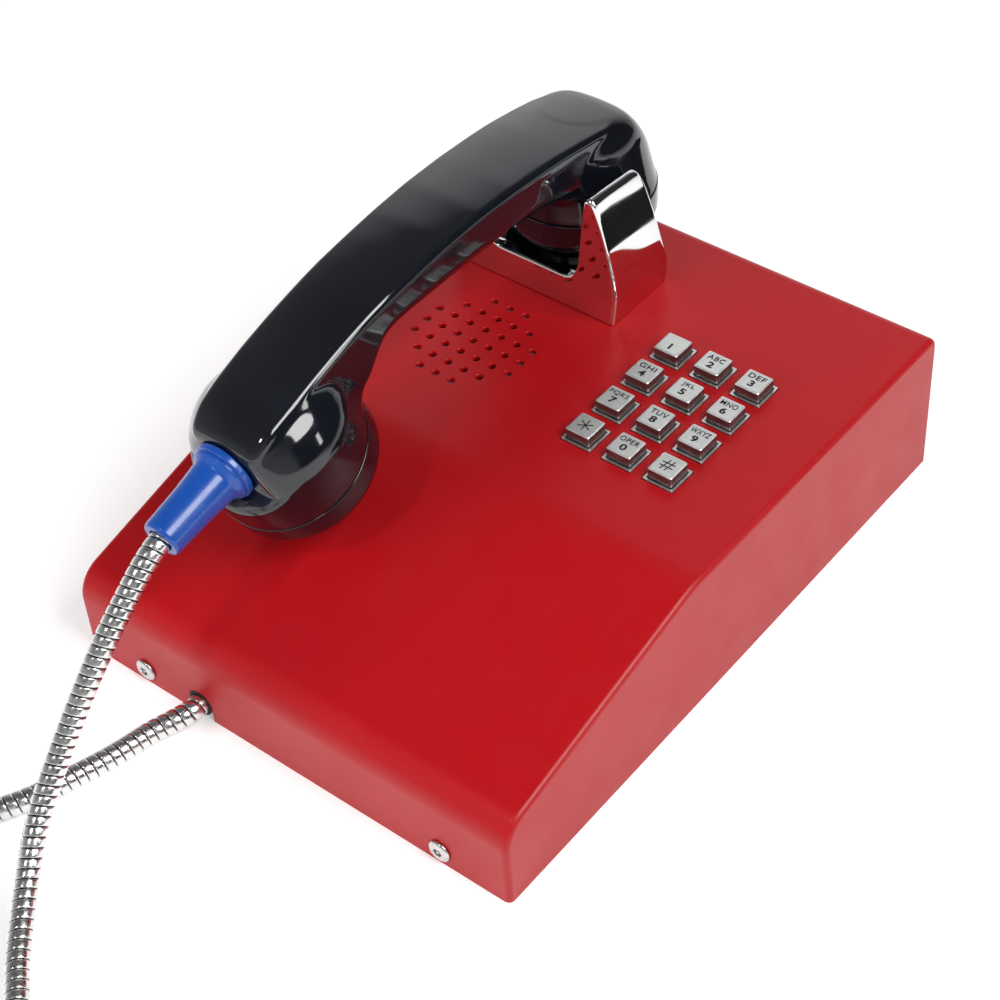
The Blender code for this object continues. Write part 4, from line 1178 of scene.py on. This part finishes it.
def text_mesh(words, bold, height, width, x, y, z):
    """Words as a thin mesh, this high and at most this wide, centred at (x, y)."""
    curve = bpy.data.curves.new("words", "FONT")
    curve.body = words
    curve.size = 0.004
    curve.offset = bold
    curve.extrude = 0.00003
    curve.space_character = 1.12
    curve.resolution_u = 6
    obj = bpy.data.objects.new("words", curve)
    bpy.context.scene.collection.objects.link(obj)
    graph = bpy.context.evaluated_depsgraph_get()
    graph.update()
    mesh = bpy.data.meshes.new_from_object(obj.evaluated_get(graph))
    bpy.data.objects.remove(obj)
    co = np.array([v.co for v in mesh.vertices])
    size = co.max(0) - co.min(0)
    centre = (co.min(0) + co.max(0)) / 2
    tall = height / size[1]
    wide = min(tall * 1.25, width / size[0])
    co = (co - centre) * (wide, tall, 1) + (x, y, z)
    mesh.vertices.foreach_set("co", co.ravel())
    return mesh


def bar(bm, start, end, width, z):
    """A round-ended stroke."""
    start, end = Vector(start), Vector(end)
    along = math.atan2(end.y - start.y, end.x - start.x)
    points = []
    for centre, first in ((end, along - math.pi / 2), (start, along + math.pi / 2)):
        for k in range(7):
            angle = first + math.pi * k / 6
            points.append(centre + Vector((math.cos(angle), math.sin(angle))) * width / 2)
    skin(bm, [[(p.x, p.y, level) for p in points] for level in (z - 0.00006, z + 0.00004)])


def make_legend(name, x, y, z):
    bm = bmesh.new()
    stroke, over = 0.00042, 0.00001
    if name == "star":
        for k in range(3):
            angle = math.pi * k / 3 + math.pi / 6
            dx, dy = 0.0029 * math.cos(angle), 0.0029 * math.sin(angle)
            bar(bm, (x - dx, y - dy), (x + dx, y + dy), stroke, z + over * k)
    elif name == "hash":
        for k in (-1, 1):
            middle, level = x + k * 0.0010, y + k * 0.0010
            bar(bm, (middle - 0.0006, y - 0.0028), (middle + 0.0006, y + 0.0028), stroke, z)
            bar(bm, (x - 0.0027, level), (x + 0.0027, level), stroke, z + over)
    else:
        words = LETTERS.get(name)
        meshes = [text_mesh(name, 0.00010, 0.0034, 0.0029, x - 0.0002, y - 0.0016, z)]
        if words:
            width = 0.0076 if len(words) < 4 else 0.0086
            meshes.append(text_mesh(words, 0.00003, 0.0026, width, x, y + 0.0025, z))
        for mesh in meshes:
            bm.from_mesh(mesh)
            bpy.data.meshes.remove(mesh)
    return from_bmesh("legend_" + name, bm, INK)


make_keypad_frame()
make_keys()

# ------------ security screws


def make_screws():
    """Button heads with a six-lobed socket and a pin in it."""
    segments = 60
    ends = (LOW_END, -1), (HIGH_END, 1)
    places = [(x, y, way) for y, way in ends for x in (-SCREW_X, SCREW_X)]
    for number, (x, y, way) in enumerate(places, 1):
        matrix = aimed((x, y, SCREW_Z), (0, way, 0))
        rings = (
            (0.0020, -0.0058, 0), (0.0020, 0.0003, 0), (0.00475, 0.0003, 0), (0.00475, 0.0007, 0),
            (0.00455, 0.00110, 0), (0.0040, 0.00145, 0), (0.0031, 0.00168, 0), (0.0023, 0.00176, 0),
            (0.00185, 0.00172, 1), (0.00175, 0.00155, 1), (0.00172, 0.0003, 1), (0.00075, 0.0003, 0),
            (0.00070, 0.00135, 0), (0.00055, 0.00150, 0),
        )
        points = []
        for radius, height, lobed in rings:
            row = []
            for i in range(segments):
                angle = math.tau * i / segments
                r = radius * (1 + 0.11 * math.cos(6 * angle) * lobed)
                row.append(matrix @ Vector((r * math.cos(angle), r * math.sin(angle), height)))
            points.append(row)
        screw = loft(f"end_screw_{number}", points, SCREW)
        smooth(screw, 40)
        show(screw, "housing", "steel", f"security_screw_{number}")


make_screws()
dress_cad_nodes()

# ------------ studio

MIDDLE = (0, 0, 0.08)


def area(name, place, target, size, power):
    data = bpy.data.lights.new(name, "AREA")
    data.shape = "RECTANGLE"
    data.size, data.size_y = size
    data.energy = power
    light = bpy.data.objects.new(name, data)
    direction = Vector(target) - Vector(place)
    light.matrix_world = (
        Matrix.Translation(place) @ direction.to_track_quat("-Z", "Y").to_matrix().to_4x4()
    )
    bpy.context.scene.collection.objects.link(light)
    return light


def around(azimuth, elevation, distance):
    return towards(azimuth, elevation) * distance + Vector(MIDDLE)


def make_floor():
    bm = bmesh.new()
    bmesh.ops.create_grid(bm, x_segments=4, y_segments=4, size=6)
    n = Nodes("studio_floor")
    n.colour(n.ramp(n.noise(3.0), ((0.3, (0.86,) * 3), (0.7, (0.88,) * 3))))
    n.roughness(n.spread(n.noise(40.0), 0.55, 0.65))
    n.set(Emission_Color=(1, 1, 1, 1), Emission_Strength=0.30)
    from_bmesh("studio_floor", bm, n.material)


def make_sky():
    """Pale at the horizon and dim overhead, with one bright and one dark side."""
    world = bpy.data.worlds.new("studio")
    bpy.context.scene.world = world
    n = Tree(world)
    where = n.add("ShaderNodeTexCoord").outputs["Generated"]
    split = n.add("ShaderNodeSeparateXYZ")
    n.link(where, split.inputs[0])
    levels = ((0.0, 0.55), (0.25, 0.44), (0.62, 0.17), (0.90, 0.11))
    sky = n.ramp(split.outputs["Z"], [(at, (level,) * 3) for at, level in levels])
    for side, start, end, level in (
        (towards(208, 20), 0.85, 0.95, 1.00), (towards(118, 12), 0.60, 0.68, 0.03),
    ):
        facing = n.add("ShaderNodeVectorMath", operation="DOT_PRODUCT")
        n.link(where, facing.inputs[0])
        facing.inputs[1].default_value = side
        share = n.ramp(facing.outputs["Value"], ((start, (0,) * 3), (end, (1,) * 3)))
        sky = n.mixed(share, sky, (level, level, level * 1.02))
    n.link(sky, n.tree.nodes["Background"].inputs["Color"])


def make_card():
    """A dark card by the right side, seen only in reflections."""
    bm = bmesh.new()
    bmesh.ops.create_grid(bm, x_segments=1, y_segments=1, size=0.5)
    n = Nodes("studio_card")
    shades = (0.0090, 0.0090, 0.0085), (0.0140, 0.0140, 0.0130)
    n.colour(n.ramp(n.noise(4.0), tuple(zip((0.3, 0.7), shades))))
    n.roughness(n.spread(n.noise(9.0), 0.80, 0.90))
    n.set(Specular_IOR_Level=0.0)
    card = from_bmesh("studio_card", bm, n.material)
    card.matrix_world = (
        Matrix.Translation((0.303, 0.367, 0.003)) @ Matrix.Rotation(math.radians(42), 4, "Z")
        @ Matrix.Diagonal((0.285, 0.52, 1, 1))
    )
    card.visible_camera = card.visible_diffuse = card.visible_shadow = False


def make_lights():
    area("key", around(92, 49, 1.7), MIDDLE, (1.05, 0.80), 30)
    area("front", around(-8, 50, 1.7), MIDDLE, (0.14, 0.14), 4)
    low = area("low_front", around(-28, 22, 1.7), (0, 0, 0.06), (1.10, 0.55), 15)
    low.visible_glossy = False
    window = area("window", around(104, 20, 1.9), (0, 0, 0.10), (0.20, 0.55), 3.0)
    window.visible_diffuse = False


make_floor()
make_sky()
make_lights()
make_card()
bpy.context.scene.view_settings.view_transform = "Standard"
bpy.context.scene.view_settings.look = "None"
